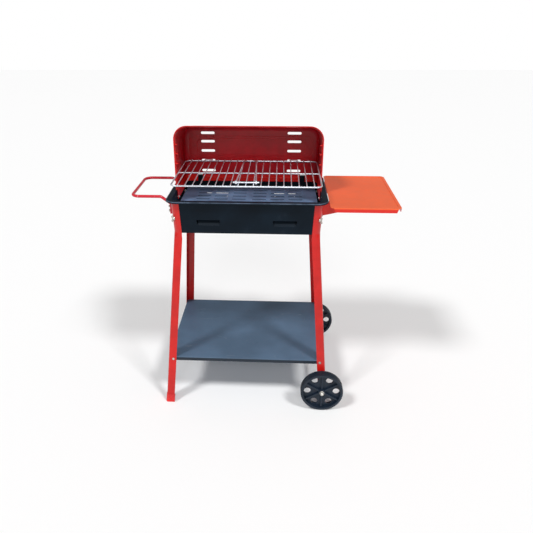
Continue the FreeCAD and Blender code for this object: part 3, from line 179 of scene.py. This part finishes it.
class Finish:
    """A material whose nodes are added by type, settings and inputs."""

    def __init__(self, name):
        self.material = bpy.data.materials.new(name)
        self.material.use_nodes = True
        self.tree = self.material.node_tree
        self.tree.nodes.clear()
        self.place = self.node("ShaderNodeTexCoord", {}, {})["Object"]

    def node(self, kind, settings, inputs):
        node = self.tree.nodes.new(kind)
        for key, value in settings.items():
            setattr(node, key, value)
        for key, value in inputs.items():
            if isinstance(value, Signal):
                self.tree.links.new(value.socket, node.inputs[key])
            else:
                node.inputs[key].default_value = value
        return Made(self, node)

    def noise(self, scale, detail=2.0, rough=0.5, stretch=(1.0, 1.0, 1.0)):
        """Noise with a scale in features to a metre. stretch squeezes it along X, Y and Z."""
        settings = {"operation": "MULTIPLY"}
        place = self.node("ShaderNodeVectorMath", settings, {0: self.place, 1: stretch})[0]
        inputs = {"Vector": place, "Scale": scale, "Detail": detail, "Roughness": rough}
        return self.node("ShaderNodeTexNoise", {}, inputs)[0]

    def mix(self, factor, first, second):
        """Colour mix of two colours or signals."""
        inputs = {0: factor, 6: first, 7: second}
        return self.node("ShaderNodeMix", {"data_type": "RGBA"}, inputs)[2]

    def height(self):
        """The height of a point of the piece above the ground."""
        return self.node("ShaderNodeSeparateXYZ", {}, {0: self.place})["Z"]

    def edge(self):
        """1 on rounded edges, 0 on the faces between them. The wind shield's lip and pressed lines
        are marked too, as painted highlights.
        """
        return self.node("ShaderNodeAttribute", {"attribute_name": "edge"}, {})["Fac"]

    def finish(self, shader_inputs, heights):
        """The shader, with a chain of bumps from (height, strength, distance) rows."""
        normal = None
        for height, strength, distance in heights:
            inputs = {"Height": height, "Strength": strength, "Distance": distance}
            if normal:
                inputs["Normal"] = normal
            normal = self.node("ShaderNodeBump", {}, inputs)["Normal"]
        shader_inputs = dict(shader_inputs)
        if normal:
            shader_inputs["Normal"] = normal
        shader = self.node("ShaderNodeBsdfPrincipled", {}, shader_inputs)["BSDF"]
        self.node("ShaderNodeOutputMaterial", {}, {"Surface": shader})
        return self.material


def rgba(colour, gain=1.0):
    """An opaque colour, made lighter or darker by a gain."""
    return tuple(min(1.0, part * gain) for part in colour) + (1.0,)


def blend_to(colour, keep, add):
    """A colour with each part scaled and lifted."""
    return tuple(part * keep + add for part in colour)


def bump(height, strength, depth):
    """One row of bumps for a finish, with its depth in metres."""
    return height, strength, depth


# ---------------------------------------------------------------- finishes

ASH = (0.16, 0.17, 0.19)
SCRATCH = (0.24, 0.28, 0.33)
SHELF_RUBBED = (0.16, 0.21, 0.28)
# Painted shade on the lower shelf's lips.
SHADED_SHELF_LIP = (0.012, 0.020, 0.032)
# Rubbed firebox edges, also a painted highlight on its rim.
FIREBOX_RUBBED_AND_HIGHLIGHT = (0.085, 0.115, 0.165)
GRATE_RUBBED = (0.16, 0.21, 0.29)
# Wind shield's edge colour, also a painted highlight on its lip and pressed lines.
SHIELD_EDGE_AND_HIGHLIGHT = (0.86, 0.040, 0.036)
# Top of the painted light on the wind shield's foot.
SHIELD_LIT_FOOT_TOP = 0.748
# Drop below the side table's top where its painted shade starts.
TABLE_LIP_DROP = 0.003
ENAMEL_FADE = 0.003
# How far below the shelf's top its painted shade starts, and over what height it fades in.
SHELF_LIP_DROP = 0.004
SHELF_LIP_FADE = 0.003


def enamel(name, colour, rough, coat, wear, cloudy=0.80, edge=None, below=None):
    """Stoved gloss enamel: orange peel, a slow change of shade, and thin or chipped paint on the
    edges. cloudy is the darkest shade, edge the colour of the rounded edges, which on the wind
    shield is also a painted highlight on its lip and pressed lines, and below a height and the
    colour under it: a painted highlight on the wind shield's foot, painted shade on the side
    table's lips and brackets."""
    finish = Finish(name)
    bare = bpy.context.scene.barbecue_colours.bare
    cloud = finish.noise(5.0, detail=3.0)
    blotch = finish.noise(38.0, detail=4.0, rough=0.6)
    grain = finish.noise(420.0, detail=2.0)
    peel = finish.noise(650.0, detail=2.0)
    rounded = finish.edge()
    shade = (cloud * 0.6 + blotch * 0.4).above(0.32, 0.68)
    base = finish.mix(shade, rgba(colour, cloudy), rgba(colour, 1.0 + (1.0 - cloudy) * 0.6))
    # Below a height, painted light: a highlight on the wind shield's foot, shade on the side
    # table's lips and brackets.
    if below:
        height, lower = below
        above_painted_light = finish.height().above(height - ENAMEL_FADE, height)
        base = finish.mix(above_painted_light, rgba(lower), base)
    # The wind shield's edge colour is thin paint on its cut edges and a painted highlight on its
    # lip and pressed lines.
    pale = edge or blend_to(colour, 0.9, 0.05)
    base = finish.mix(rounded * 0.8, base, rgba(pale))
    chips = rounded * grain.above(0.60, 0.66) * blotch.above(0.52, 0.60) * wear
    base = finish.mix(chips, base, rgba(bare))
    specks = finish.noise(240.0, detail=1.0).above(0.74, 0.78) * 0.25
    base = finish.mix(specks, base, rgba(colour, gain=0.55))
    roughness = rough + (blotch - 0.5) * 0.16 + chips * 0.3
    inputs = {"Base Color": base, "Roughness": roughness, "Metallic": chips * 0.9,
              "Coat Weight": coat, "Coat Roughness": 0.10, "Specular IOR Level": 0.25}
    return finish.finish(inputs, [bump(peel, strength=0.10, depth=0.0003),
                                  bump(blotch, strength=0.06, depth=0.001)])


def heatproof(name, colour, rough, dust, worn):
    """Matt heatproof paint with a fine tooth, ash dust in patches and rubbed edges, which on the
    firebox's rim are also a painted highlight.
    """
    finish = Finish(name)
    cloud = finish.noise(7.0, detail=4.0, rough=0.6)
    patch = finish.noise(28.0, detail=5.0, rough=0.65)
    tooth = finish.noise(900.0, detail=3.0)
    edge = finish.edge()
    base = finish.mix(cloud.above(0.35, 0.66), rgba(colour, gain=0.78), rgba(colour, gain=1.25))
    ash = patch.above(0.55, 0.80) * dust
    base = finish.mix(ash, base, rgba(ASH))
    # Rubbed edges; on the firebox's rim the rubbed colour is also a painted highlight.
    rubbed = edge * (patch.above(0.40, 0.62) * 0.6 + 0.4)
    base = finish.mix(rubbed, base, rgba(worn))
    roughness = rough + (patch - 0.5) * 0.22 - rubbed * 0.1
    inputs = {"Base Color": base, "Roughness": roughness, "Metallic": rubbed * 0.4,
              "Specular IOR Level": 0.11}
    return finish.finish(inputs, [bump(tooth, strength=0.22, depth=0.0003),
                                  bump(patch, strength=0.05, depth=0.001)])


def shelf_paint(name, colour, lip, top):
    """Satin paint with fine scratches and scuffs on the top, and painted shade on the lips under
    it.
    """
    finish = Finish(name)
    cloud = finish.noise(4.0, detail=3.0)
    scuff = finish.noise(22.0, detail=5.0, rough=0.7)
    tooth = finish.noise(800.0, detail=2.0)
    edge = finish.edge()
    drag = finish.noise(7.0, detail=1.0, rough=0.5, stretch=(0.5, 2.4, 1.0)) - 0.5
    cross = finish.noise(6.0, detail=1.0, rough=0.5, stretch=(2.6, 0.6, 1.0)) - 0.5
    along_lines = 1 - (drag * drag).above(0.0000005, 0.000012)
    cross_lines = 1 - (cross * cross).above(0.0000002, 0.000006)
    scratches = along_lines * scuff.above(0.52, 0.60) + cross_lines * scuff.above(0.56, 0.64)
    base = finish.mix(cloud.above(0.34, 0.66), rgba(colour, gain=0.85), rgba(colour, gain=1.18))
    base = finish.mix(scuff.above(0.58, 0.82) * 0.35, base, rgba(colour, gain=0.5))
    base = finish.mix(scratches * 0.45, base, rgba(SCRATCH))
    # Painted shade on the lips under the shelf's top.
    lip_top = top - SHELF_LIP_DROP
    shaded_lips = 1.0 - finish.height().above(lip_top, lip_top + SHELF_LIP_FADE)
    base = finish.mix(shaded_lips, base, rgba(lip))
    base = finish.mix(edge * 0.45, base, rgba(SHELF_RUBBED))
    roughness = 0.40 + (scuff - 0.5) * 0.34
    inputs = {"Base Color": base, "Roughness": roughness, "Specular IOR Level": 0.3}
    return finish.finish(inputs, [bump(tooth, strength=0.14, depth=0.0003),
                                  bump(scratches, strength=0.12, depth=0.0004)])


def moulded(name, colour, rough):
    """Moulded plastic: a fine spark texture, paler rubbed edges and dust."""
    finish = Finish(name)
    cloud = finish.noise(11.0, detail=3.0)
    spark = finish.noise(1100.0, detail=2.0)
    patch = finish.noise(55.0, detail=4.0, rough=0.6)
    edge = finish.edge()
    base = finish.mix(cloud.above(0.35, 0.65), rgba(colour, gain=0.8), rgba(colour, gain=1.3))
    rubbed = edge * 0.7 + patch.above(0.62, 0.80) * 0.3
    base = finish.mix(rubbed, base, rgba(blend_to(colour, 0.8, 0.035)))
    roughness = rough + (patch - 0.5) * 0.2
    inputs = {"Base Color": base, "Roughness": roughness, "Specular IOR Level": 0.35}
    return finish.finish(inputs, [bump(spark, strength=0.16, depth=0.0002),
                                  bump(patch, strength=0.05, depth=0.0008)])


def plated(name, colour, rough, dull):
    """Bright plating: drawn wire marks, dull spots and a slow change of tone."""
    finish = Finish(name)
    cloud = finish.noise(14.0, detail=3.0)
    drawn = finish.noise(260.0, detail=3.0, rough=0.6, stretch=(1.0, 0.12, 1.0))
    spots = finish.noise(170.0, detail=3.0, rough=0.6)
    stain = spots.above(0.60, 0.72) * dull
    base = finish.mix(cloud.above(0.3, 0.7), rgba(colour, gain=0.86), rgba(colour, gain=1.12))
    base = finish.mix(stain, base, rgba(colour, gain=0.35))
    roughness = rough + (drawn - 0.5) * 0.18 + stain * 0.25
    inputs = {"Base Color": base, "Roughness": roughness, "Metallic": 0.6 - stain * 0.4}
    return finish.finish(inputs, [bump(drawn, strength=0.10, depth=0.0002),
                                  bump(spots, strength=0.06, depth=0.0003)])


FINISHES = {}


def finish_for(slot):
    """The material of one of the record's slots, made when it is first asked for."""
    if slot not in FINISHES:
        colours = bpy.context.scene.barbecue_colours
        table_lip_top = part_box("side_table")[1].z - TABLE_LIP_DROP
        shelf_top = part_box("lower_shelf")[1].z
        recipes = {
            # The wind shield's foot and edges carry painted highlights.
            "shield_red": lambda: enamel(
                slot, colours.shield, rough=0.34, coat=0.16, wear=0.3, cloudy=0.80,
                edge=SHIELD_EDGE_AND_HIGHLIGHT, below=(SHIELD_LIT_FOOT_TOP, colours.shield_lit_foot)),
            "leg_red": lambda: enamel(slot, colours.leg, rough=0.32, coat=0.30, wear=0.8),
            "cap_red": lambda: moulded(slot, colours.cap, rough=0.28),
            "handle_red": lambda: enamel(slot, colours.handle, rough=0.28, coat=0.35, wear=0.5),
            # The side table's lips and brackets carry painted shade.
            "table_orange": lambda: enamel(
                slot, colours.table, rough=0.36, coat=0.20, wear=0.4, cloudy=0.93,
                below=(table_lip_top, colours.shaded_table_lip)),
            # The firebox's rubbed edges are also a painted highlight on its rim.
            "firebox_black": lambda: heatproof(
                slot, colours.firebox, rough=0.46, dust=0.03, worn=FIREBOX_RUBBED_AND_HIGHLIGHT),
            "grate_grey": lambda: heatproof(
                slot, colours.grate, rough=0.42, dust=0.25, worn=GRATE_RUBBED),
            # The lower shelf's lips carry painted shade.
            "shelf_grey": lambda: shelf_paint(slot, colours.shelf, lip=SHADED_SHELF_LIP, top=shelf_top),
            "wheel_black": lambda: moulded(slot, colours.wheel, rough=0.42),
            "chrome_wire": lambda: plated(slot, colours.chrome, rough=0.20, dull=0.35),
            "zinc": lambda: plated(slot, colours.zinc, rough=0.30, dull=0.30),
        }
        FINISHES[slot] = recipes[slot]()
    return FINISHES[slot]


SLOT_OF = {row["node"]: row["material_slot"] for row in frame["record"]["subparts"]}
FASTENER_NODES = [node for node, slot in SLOT_OF.items() if slot == "zinc"]
for painted_over in ("shield_rear_screws", "shield_rear_screw_nuts"):
    SLOT_OF[painted_over] = "shield_red"
BODIES = frame["record"]["behaviour"]["bodies"]
BODY_OF = {node: body for body, nodes in BODIES.items() for node in nodes}


# ---------------------------------------------------------------- mesh helpers

def edge_marks(mesh_builder):
    """The marks that tell the finishes how much of an edge a face is, from 0 to 1. On the wind
    shield's lip and pressed lines they paint a highlight.
    """
    layers = mesh_builder.loops.layers.float
    return layers.get("edge") or layers.new("edge")


def round_edges(mesh_builder, rows, segments=2):
    """Bevel edges by (edges, width) rows, and mark the new faces as edges for the finishes."""
    marks = edge_marks(mesh_builder)
    for edges, width in rows:
        edges = [edge for edge in edges if edge.is_valid]
        if not edges or width <= 0:
            continue
        made = bmesh.ops.bevel(mesh_builder, geom=edges, offset=width, offset_type="OFFSET",
                               segments=segments, profile=0.5, affect="EDGES", clamp_overlap=True)
        for face in made["faces"]:
            for loop in face.loops:
                loop[marks] = 1.0


def sharp_edges(mesh_builder, angle):
    """Edges between faces that meet at more than an angle."""
    return [edge for edge in mesh_builder.edges
            if len(edge.link_faces) == 2 and edge.calc_face_angle(0.0) > angle]


SAME_POINT = 2e-6
SAME_PLANE = math.radians(0.4)


def cad_mesh(node, join=True):
    """A working copy of a CAD node's mesh, with its triangles joined into flat faces if asked."""
    builder = bmesh.new()
    builder.from_mesh(frame["nodes"][node].data)
    bmesh.ops.remove_doubles(builder, verts=builder.verts, dist=SAME_POINT)
    if join:
        bmesh.ops.dissolve_limit(builder, angle_limit=SAME_PLANE, use_dissolve_boundaries=False,
                                 verts=builder.verts, edges=builder.edges)
    return builder


def smooth(piece, angle=32.0):
    """Smooth shading, apart from edges sharper than an angle. Large flat faces stay flat."""
    piece.data.shade_smooth()
    piece.data.set_sharp_from_angle(angle=math.radians(angle))
    even = piece.modifiers.new("even", "WEIGHTED_NORMAL")
    even.keep_sharp = True
    even.weight = 100
    chosen = {"object": piece, "active_object": piece, "selected_objects": [piece]}
    with bpy.context.temp_override(**chosen):
        bpy.ops.object.modifier_apply(modifier=even.name)


def show(name, builder, node, stands_for=True):
    """Turn a mesh into a piece that rides with a CAD node, has its finish and may stand for it."""
    mesh = bpy.data.meshes.new(name)
    builder.to_mesh(mesh)
    builder.free()
    piece = bpy.data.objects.new(name, mesh)
    bpy.context.scene.collection.objects.link(piece)
    smooth(piece)
    mesh.materials.append(finish_for(SLOT_OF[node]))
    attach(piece, BODY_OF[node])
    if stands_for:
        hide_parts(node)
    SLOT_OF[node]
    return piece


def soften(node, width, angle=28.0, segments=2, heavier=None):
    """A piece with the shape of a CAD node and rounded edges. heavier picks the edges that get a
    wider rounding, and its width."""
    builder = cad_mesh(node)
    edges = sharp_edges(builder, math.radians(angle))
    rows = [(edges, width)]
    if heavier:
        picked, wider = heavier(builder, edges)
        chosen = set(picked)
        rows = [(picked, wider), ([edge for edge in edges if edge not in chosen], width)]
    round_edges(builder, rows, segments)
    return show(node + "_piece", builder, node)


# ---------------------------------------------------------------- operators

class Sheets(bpy.types.Operator):
    """Pressed and folded sheet pieces with softly rounded cut edges"""
    bl_idname = "barbecue.sheets"
    bl_label = "Pressed sheets"

    nodes = ("wind_shield", "charcoal_grate", "side_table", "table_bracket_front",
             "table_bracket_rear", "leg_front_left", "leg_rear_left", "leg_front_right",
             "leg_rear_right")
    lip_depth = 0.0095

    def execute(self, context):
        for node in self.nodes:
            soften(node, context.scene.barbecue_sizes.sheet_edge)
        # Painted highlight on the wind shield's flared lip.
        self.paint_lip_highlight(bpy.data.objects["wind_shield_piece"].data)
        return {"FINISHED"}

    def paint_lip_highlight(self, mesh):
        """Mark the shield's flared lip as an edge, which paints a highlight on it."""
        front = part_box("wind_shield")[0].y
        marks = mesh.attributes["edge"].data
        for face in mesh.polygons:
            if face.center.y < front + self.lip_depth:
                for corner in face.loop_indices:
                    marks[corner].value = 1.0


class PressedLines(bpy.types.Operator):
    """Lines pressed into the back of the wind shield, and the fold above its lower edge, with
    painted highlights on them
    """
    bl_idname = "barbecue.pressed_lines"
    bl_label = "Shield's pressed lines"

    # half width, bottom, top and corner radius of each loop
    wide_loop = (0.226, 0.8120, 0.8885, 0.026)
    inner_loop = (0.198, 0.8210, 0.8800, 0.018)
    corner_steps = 8
    # half width, height and radius of the fold, and the length of its tapered ends
    fold = (0.176, 0.7365, 0.0019)
    fold_end = 0.006
    end_size = 0.35
    sunk = 0.0006
    sides = 10
    # How strongly the pressed lines are marked as edges: a faint painted highlight.
    line_highlight_mark = 0.25

    def execute(self, context):
        radius = context.scene.barbecue_sizes.bead_radius
        low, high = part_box("wind_shield")
        self.middle = (low.x + high.x) / 2
        self.depth = high.y - self.sunk
        builder = bmesh.new()
        for half, bottom, top, corner in (self.wide_loop, self.inner_loop):
            self.bead(builder, self.loop(half, bottom, top, corner), radius, True)
        half, height, fold_radius = self.fold
        full = half - self.fold_end
        ends = [(-half, height), (-full, height), (full, height), (half, height)]
        self.bead(builder, ends, fold_radius, False)
        # The fold is marked fully and the pressed lines faintly as edges: painted highlights on
        # them.
        marks = edge_marks(builder)
        for face in builder.faces:
            on_highlit_fold = face.calc_center_median().z < height + 2 * fold_radius
            for loop in face.loops:
                loop[marks] = 1.0 if on_highlit_fold else self.line_highlight_mark
        show("pressed_lines", builder, "wind_shield", stands_for=False)
        return {"FINISHED"}

    def loop(self, half, bottom, top, corner):
        """The points of an upright rectangle with round corners."""
        points = []
        corners = ((half, top, 0), (-half, top, 90), (-half, bottom, 180), (half, bottom, 270))
        for x, z, start in corners:
            middle_x = math.copysign(abs(x) - corner, x)
            middle_z = z - corner if z == top else z + corner
            for step in range(self.corner_steps + 1):
                turn = math.radians(start + step * 90 / self.corner_steps)
                points.append((middle_x + corner * math.cos(turn),
                               middle_z + corner * math.sin(turn)))
        return points

    def bead(self, builder, points, radius, closed):
        """A round bead along points on the shield's back, tapered at open ends."""
        rings = []
        count = len(points)
        for i, (x, z) in enumerate(points):
            before = points[(i - 1) % count] if closed or i else points[i]
            after = points[(i + 1) % count] if closed or i < count - 1 else points[i]
            along = Vector((after[0] - before[0], 0.0, after[1] - before[1])).normalized()
            across = along.cross(Vector((0.0, 1.0, 0.0)))
            size = radius if closed or 0 < i < count - 1 else radius * self.end_size
            centre = Vector((self.middle + x, self.depth, z))
            ring = []
            for side in range(self.sides):
                turn = 2 * math.pi * side / self.sides
                outward = Vector((0.0, size * math.sin(turn), 0.0))
                offset = across * (size * math.cos(turn)) + outward
                ring.append(builder.verts.new(centre + offset))
            rings.append(ring)
        pairs = list(zip(rings, rings[1:])) + ([(rings[-1], rings[0])] if closed else [])
        for first, second in pairs:
            for side in range(self.sides):
                following = (side + 1) % self.sides
                builder.faces.new(
                    (first[side], first[following], second[following], second[side]))
        if not closed:
            builder.faces.new(list(reversed(rings[0])))
            builder.faces.new(rings[-1])
        bmesh.ops.recalc_face_normals(builder, faces=builder.faces)


class Firebox(bpy.types.Operator):
    """The firebox, with a rolled outer edge on its rim"""
    bl_idname = "barbecue.firebox"
    bl_label = "Firebox"

    rim_corner = 0.040
    level_within = 1e-5
    corner_within = 0.001

    def execute(self, context):
        sizes = context.scene.barbecue_sizes
        low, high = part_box("firebox")

        def outer_rim(builder, edges):
            picked = []
            for edge in edges:
                on_top = all(abs(vert.co.z - high.z) < self.level_within for vert in edge.verts)
                if on_top and all(self.outside(vert.co, low, high) for vert in edge.verts):
                    picked.append(edge)
            return picked, sizes.rim_roll

        soften("firebox", sizes.sheet_edge, heavier=outer_rim, segments=3)
        return {"FINISHED"}

    def outside(self, point, low, high):
        """Whether a point of the rim lies on its outer edge."""
        middle = (low + high) / 2
        half = (high - low) / 2
        x = max(abs(point.x - middle.x) - (half.x - self.rim_corner), 0.0)
        y = max(abs(point.y - middle.y) - (half.y - self.rim_corner), 0.0)
        return math.hypot(x, y) > self.rim_corner - self.corner_within


class Shelf(bpy.types.Operator):
    """The lower shelf, with its top and lips rounded where they are folded and cut"""
    bl_idname = "barbecue.shelf"
    bl_label = "Lower shelf"

    def execute(self, context):
        soften("lower_shelf", context.scene.barbecue_sizes.sheet_edge * 2)
        return {"FINISHED"}


class Wheels(bpy.types.Operator):
    """Moulded wheels with three rows of tread blocks"""
    bl_idname = "barbecue.wheels"
    bl_label = "Wheels"

    rim_within = 0.0005
    rows = 3
    shoulder = 0.0022
    groove = 0.0014
    block_share = 0.62
    slant_share = 0.35
    block_foot = 1.6
    block_gap = 0.00002
    block_taper = 0.22
    side_mark = 0.6

    def execute(self, context):
        for node in ("wheel_front", "wheel_rear"):
            self.wheel(context.scene.barbecue_sizes, node)
        return {"FINISHED"}

    def wheel(self, sizes, node):
        low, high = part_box(node)
        centre = (low + high) / 2
        radius = (high.z - low.z) / 2
        builder = cad_mesh(node)
        for vert in builder.verts:
            spoke = Vector((vert.co.x - centre.x, 0.0, vert.co.z - centre.z))
            if spoke.length > radius - self.rim_within:
                spoke *= (radius - sizes.tread_depth) / spoke.length
                vert.co.x = centre.x + spoke.x
                vert.co.z = centre.z + spoke.z
        round_edges(builder, [(sharp_edges(builder, math.radians(35)), sizes.moulded_edge)], 2)
        self.tread(builder, sizes, centre, radius, high.y - low.y)
        show(node + "_piece", builder, node)

    def tread(self, builder, sizes, centre, radius, width):
        """Three rows of slanted blocks round the rim, each tapering to its top."""
        pitch = 2 * math.pi / sizes.tread_blocks
        row_width = (width - 2 * self.shoulder - (self.rows - 1) * self.groove) / self.rows
        marks = edge_marks(builder)
        for row in range(self.rows):
            start = centre.y - width / 2 + self.shoulder + row * (row_width + self.groove)
            slant = pitch * self.slant_share * (1 if row % 2 else -1)
            for block in range(sizes.tread_blocks):
                angle = (block + 0.5 * (row % 2)) * pitch
                self.block(builder, marks, centre, radius, sizes.tread_depth, start, row_width,
                           angle, pitch * self.block_share, slant)

    def block(self, builder, marks, centre, radius, depth, start, width, angle, spread, slant):
        """One block, from a foot inside the rim to a smaller top at the wheel's full radius."""
        foot = (radius - depth * self.block_foot, 0.0)
        crown = (radius - self.block_gap, self.block_taper)
        corners = []
        for level, shrink in (foot, crown):
            for across, round_about in ((0, -0.5), (1, -0.5), (1, 0.5), (0, 0.5)):
                y = start + width * (shrink * 0.25 + across * (1 - shrink * 0.5))
                turn = angle + spread * (1 - shrink) * round_about + slant * (across - 0.5)
                x = centre.x + level * math.cos(turn)
                z = centre.z + level * math.sin(turn)
                corners.append(builder.verts.new(Vector((x, y, z))))
        top = builder.faces.new((corners[4], corners[7], corners[6], corners[5]))
        for i in range(4):
            j = (i + 1) % 4
            side = builder.faces.new((corners[i], corners[4 + i], corners[4 + j], corners[j]))
            for loop in side.loops:
                loop[marks] = self.side_mark
        bottom = builder.faces.new(corners[:4])
        for face in (top, bottom):
            face.smooth = False


class FootCaps(bpy.types.Operator):
    """Plastic caps on the feet of the two left legs"""
    bl_idname = "barbecue.foot_caps"
    bl_label = "Foot caps"

    def execute(self, context):
        for node in ("foot_cap_front", "foot_cap_rear"):
            soften(node, context.scene.barbecue_sizes.moulded_edge, segments=3)
        return {"FINISHED"}


class Wires(bpy.types.Operator):
    """The side handle, the cooking grill and the grill's folding handle"""
    bl_idname = "barbecue.wires"
    bl_label = "Handles and grill"

    nodes = ("side_handle", "grill_frame", "grill_bars", "grill_middle_wire", "grill_hooks",
             "grill_handle_rod", "grill_handle")

    def execute(self, context):
        for node in self.nodes:
            builder = cad_mesh(node, join=False)
            edge_marks(builder)
            show(node + "_piece", builder, node)
        return {"FINISHED"}


class Fasteners(bpy.types.Operator):
    """Bolts, nuts, wing nuts, washers and the axle"""
    bl_idname = "barbecue.fasteners"
    bl_label = "Fasteners"

    def execute(self, context):
        for node in FASTENER_NODES:
            soften(node, context.scene.barbecue_sizes.sheet_edge * 0.8, angle=35.0)
        return {"FINISHED"}


class Stage(bpy.types.Operator):
    """A pale floor, soft lights and the camera"""
    bl_idname = "barbecue.stage"
    bl_label = "Stage"

    camera_place = (0.0554, -1.9062, 1.3102)
    camera_yaw = math.radians(-3.45)
    camera_pitch = math.radians(25.39)
    camera_roll = math.radians(-0.35)
    lens = 38.03
    shift = (0.0366, 0.0159)
    fill_strength = 0.26
    key_strength = 1.40
    key_spread = 11.0
    front_strength = 0.72
    front_spread = 24.0
    floor_half = 12.0
    floor_height = -0.0005
    floor_colour = (0.93, 0.93, 0.93)

    def execute(self, context):
        self.floor()
        self.world(context.scene)
        self.light("key_left", (-0.57, -0.545, 1.0), self.key_strength, self.key_spread)
        self.light("key_right", (0.57, -0.545, 1.0), self.key_strength, self.key_spread)
        self.light("front", (0.10, -1.0, 0.60), self.front_strength, self.front_spread)
        self.camera(context.scene)
        context.scene.view_settings.view_transform = "Standard"
        return {"FINISHED"}

    def floor(self):
        """A wide matt floor, a hair below the feet."""
        builder = bmesh.new()
        bmesh.ops.create_grid(builder, x_segments=2, y_segments=2, size=self.floor_half)
        mesh = bpy.data.meshes.new("floor")
        builder.to_mesh(mesh)
        builder.free()
        ground = bpy.data.objects.new("floor", mesh)
        bpy.context.scene.collection.objects.link(ground)
        ground.location.z = self.floor_height
        matt = {"Base Color": rgba(self.floor_colour), "Roughness": 0.9}
        mesh.materials.append(Finish("floor").finish(matt, []))

    def world(self, scene):
        """A white backdrop that lights the scene more weakly than it looks."""
        world = bpy.data.worlds.new("studio")
        world.use_nodes = True
        tree = world.node_tree
        backdrop = tree.nodes["Background"]
        backdrop.inputs["Color"].default_value = (1.0, 1.0, 1.0, 1.0)
        seen = tree.nodes.new("ShaderNodeLightPath")
        strength = tree.nodes.new("ShaderNodeMapRange")
        strength.inputs["To Min"].default_value = self.fill_strength
        strength.inputs["To Max"].default_value = 1.0
        tree.links.new(seen.outputs["Is Camera Ray"], strength.inputs["Value"])
        tree.links.new(strength.outputs["Result"], backdrop.inputs["Strength"])
        scene.world = world

    def light(self, name, toward, strength, spread):
        """A distant soft light that comes from a direction."""
        lamp = bpy.data.lights.new(name, "SUN")
        lamp.energy = strength
        lamp.angle = math.radians(spread)
        light = bpy.data.objects.new(name, lamp)
        light.rotation_mode = "QUATERNION"
        light.rotation_quaternion = Vector(toward).to_track_quat("Z", "Y")
        bpy.context.scene.collection.objects.link(light)

    def camera(self, scene):
        lens = bpy.data.cameras.new("camera")
        lens.lens = self.lens
        lens.shift_x, lens.shift_y = self.shift
        view = bpy.data.objects.new("camera", lens)
        turn = (Matrix.Rotation(-self.camera_yaw, 4, "Z")
                @ Matrix.Rotation(math.pi / 2 - self.camera_pitch, 4, "X")
                @ Matrix.Rotation(self.camera_roll, 4, "Z"))
        view.matrix_world = Matrix.Translation(self.camera_place) @ turn
        scene.collection.objects.link(view)
        scene.camera = view


class BarbecuePanel(bpy.types.Panel):
    """Buttons for every piece, and the sizes and colours"""
    bl_idname = "VIEW3D_PT_barbecue"
    bl_label = "Trolley Barbecue"
    bl_space_type = "VIEW_3D"
    bl_region_type = "UI"
    bl_category = "Barbecue"

    def draw(self, context):
        layout = self.layout
        for operator in PIECES:
            layout.operator(operator.bl_idname)
        for group in (context.scene.barbecue_sizes, context.scene.barbecue_colours):
            for name in group.__annotations__:
                layout.prop(group, name)


PIECES = (Sheets, PressedLines, Firebox, Shelf, Wheels, FootCaps, Wires, Fasteners, Stage)
CLASSES = (BarbecueSizes, BarbecueColours) + PIECES + (BarbecuePanel,)


def register():
    for item in CLASSES:
        bpy.utils.register_class(item)
    bpy.types.Scene.barbecue_sizes = PointerProperty(type=BarbecueSizes)
    bpy.types.Scene.barbecue_colours = PointerProperty(type=BarbecueColours)


def unregister():
    del bpy.types.Scene.barbecue_colours
    del bpy.types.Scene.barbecue_sizes
    for item in reversed(CLASSES):
        bpy.utils.unregister_class(item)


def main():
    register()
    for operator in PIECES:
        category, name = operator.bl_idname.split(".")
        getattr(getattr(bpy.ops, category), name)()


if __name__ == "__main__":
    main()
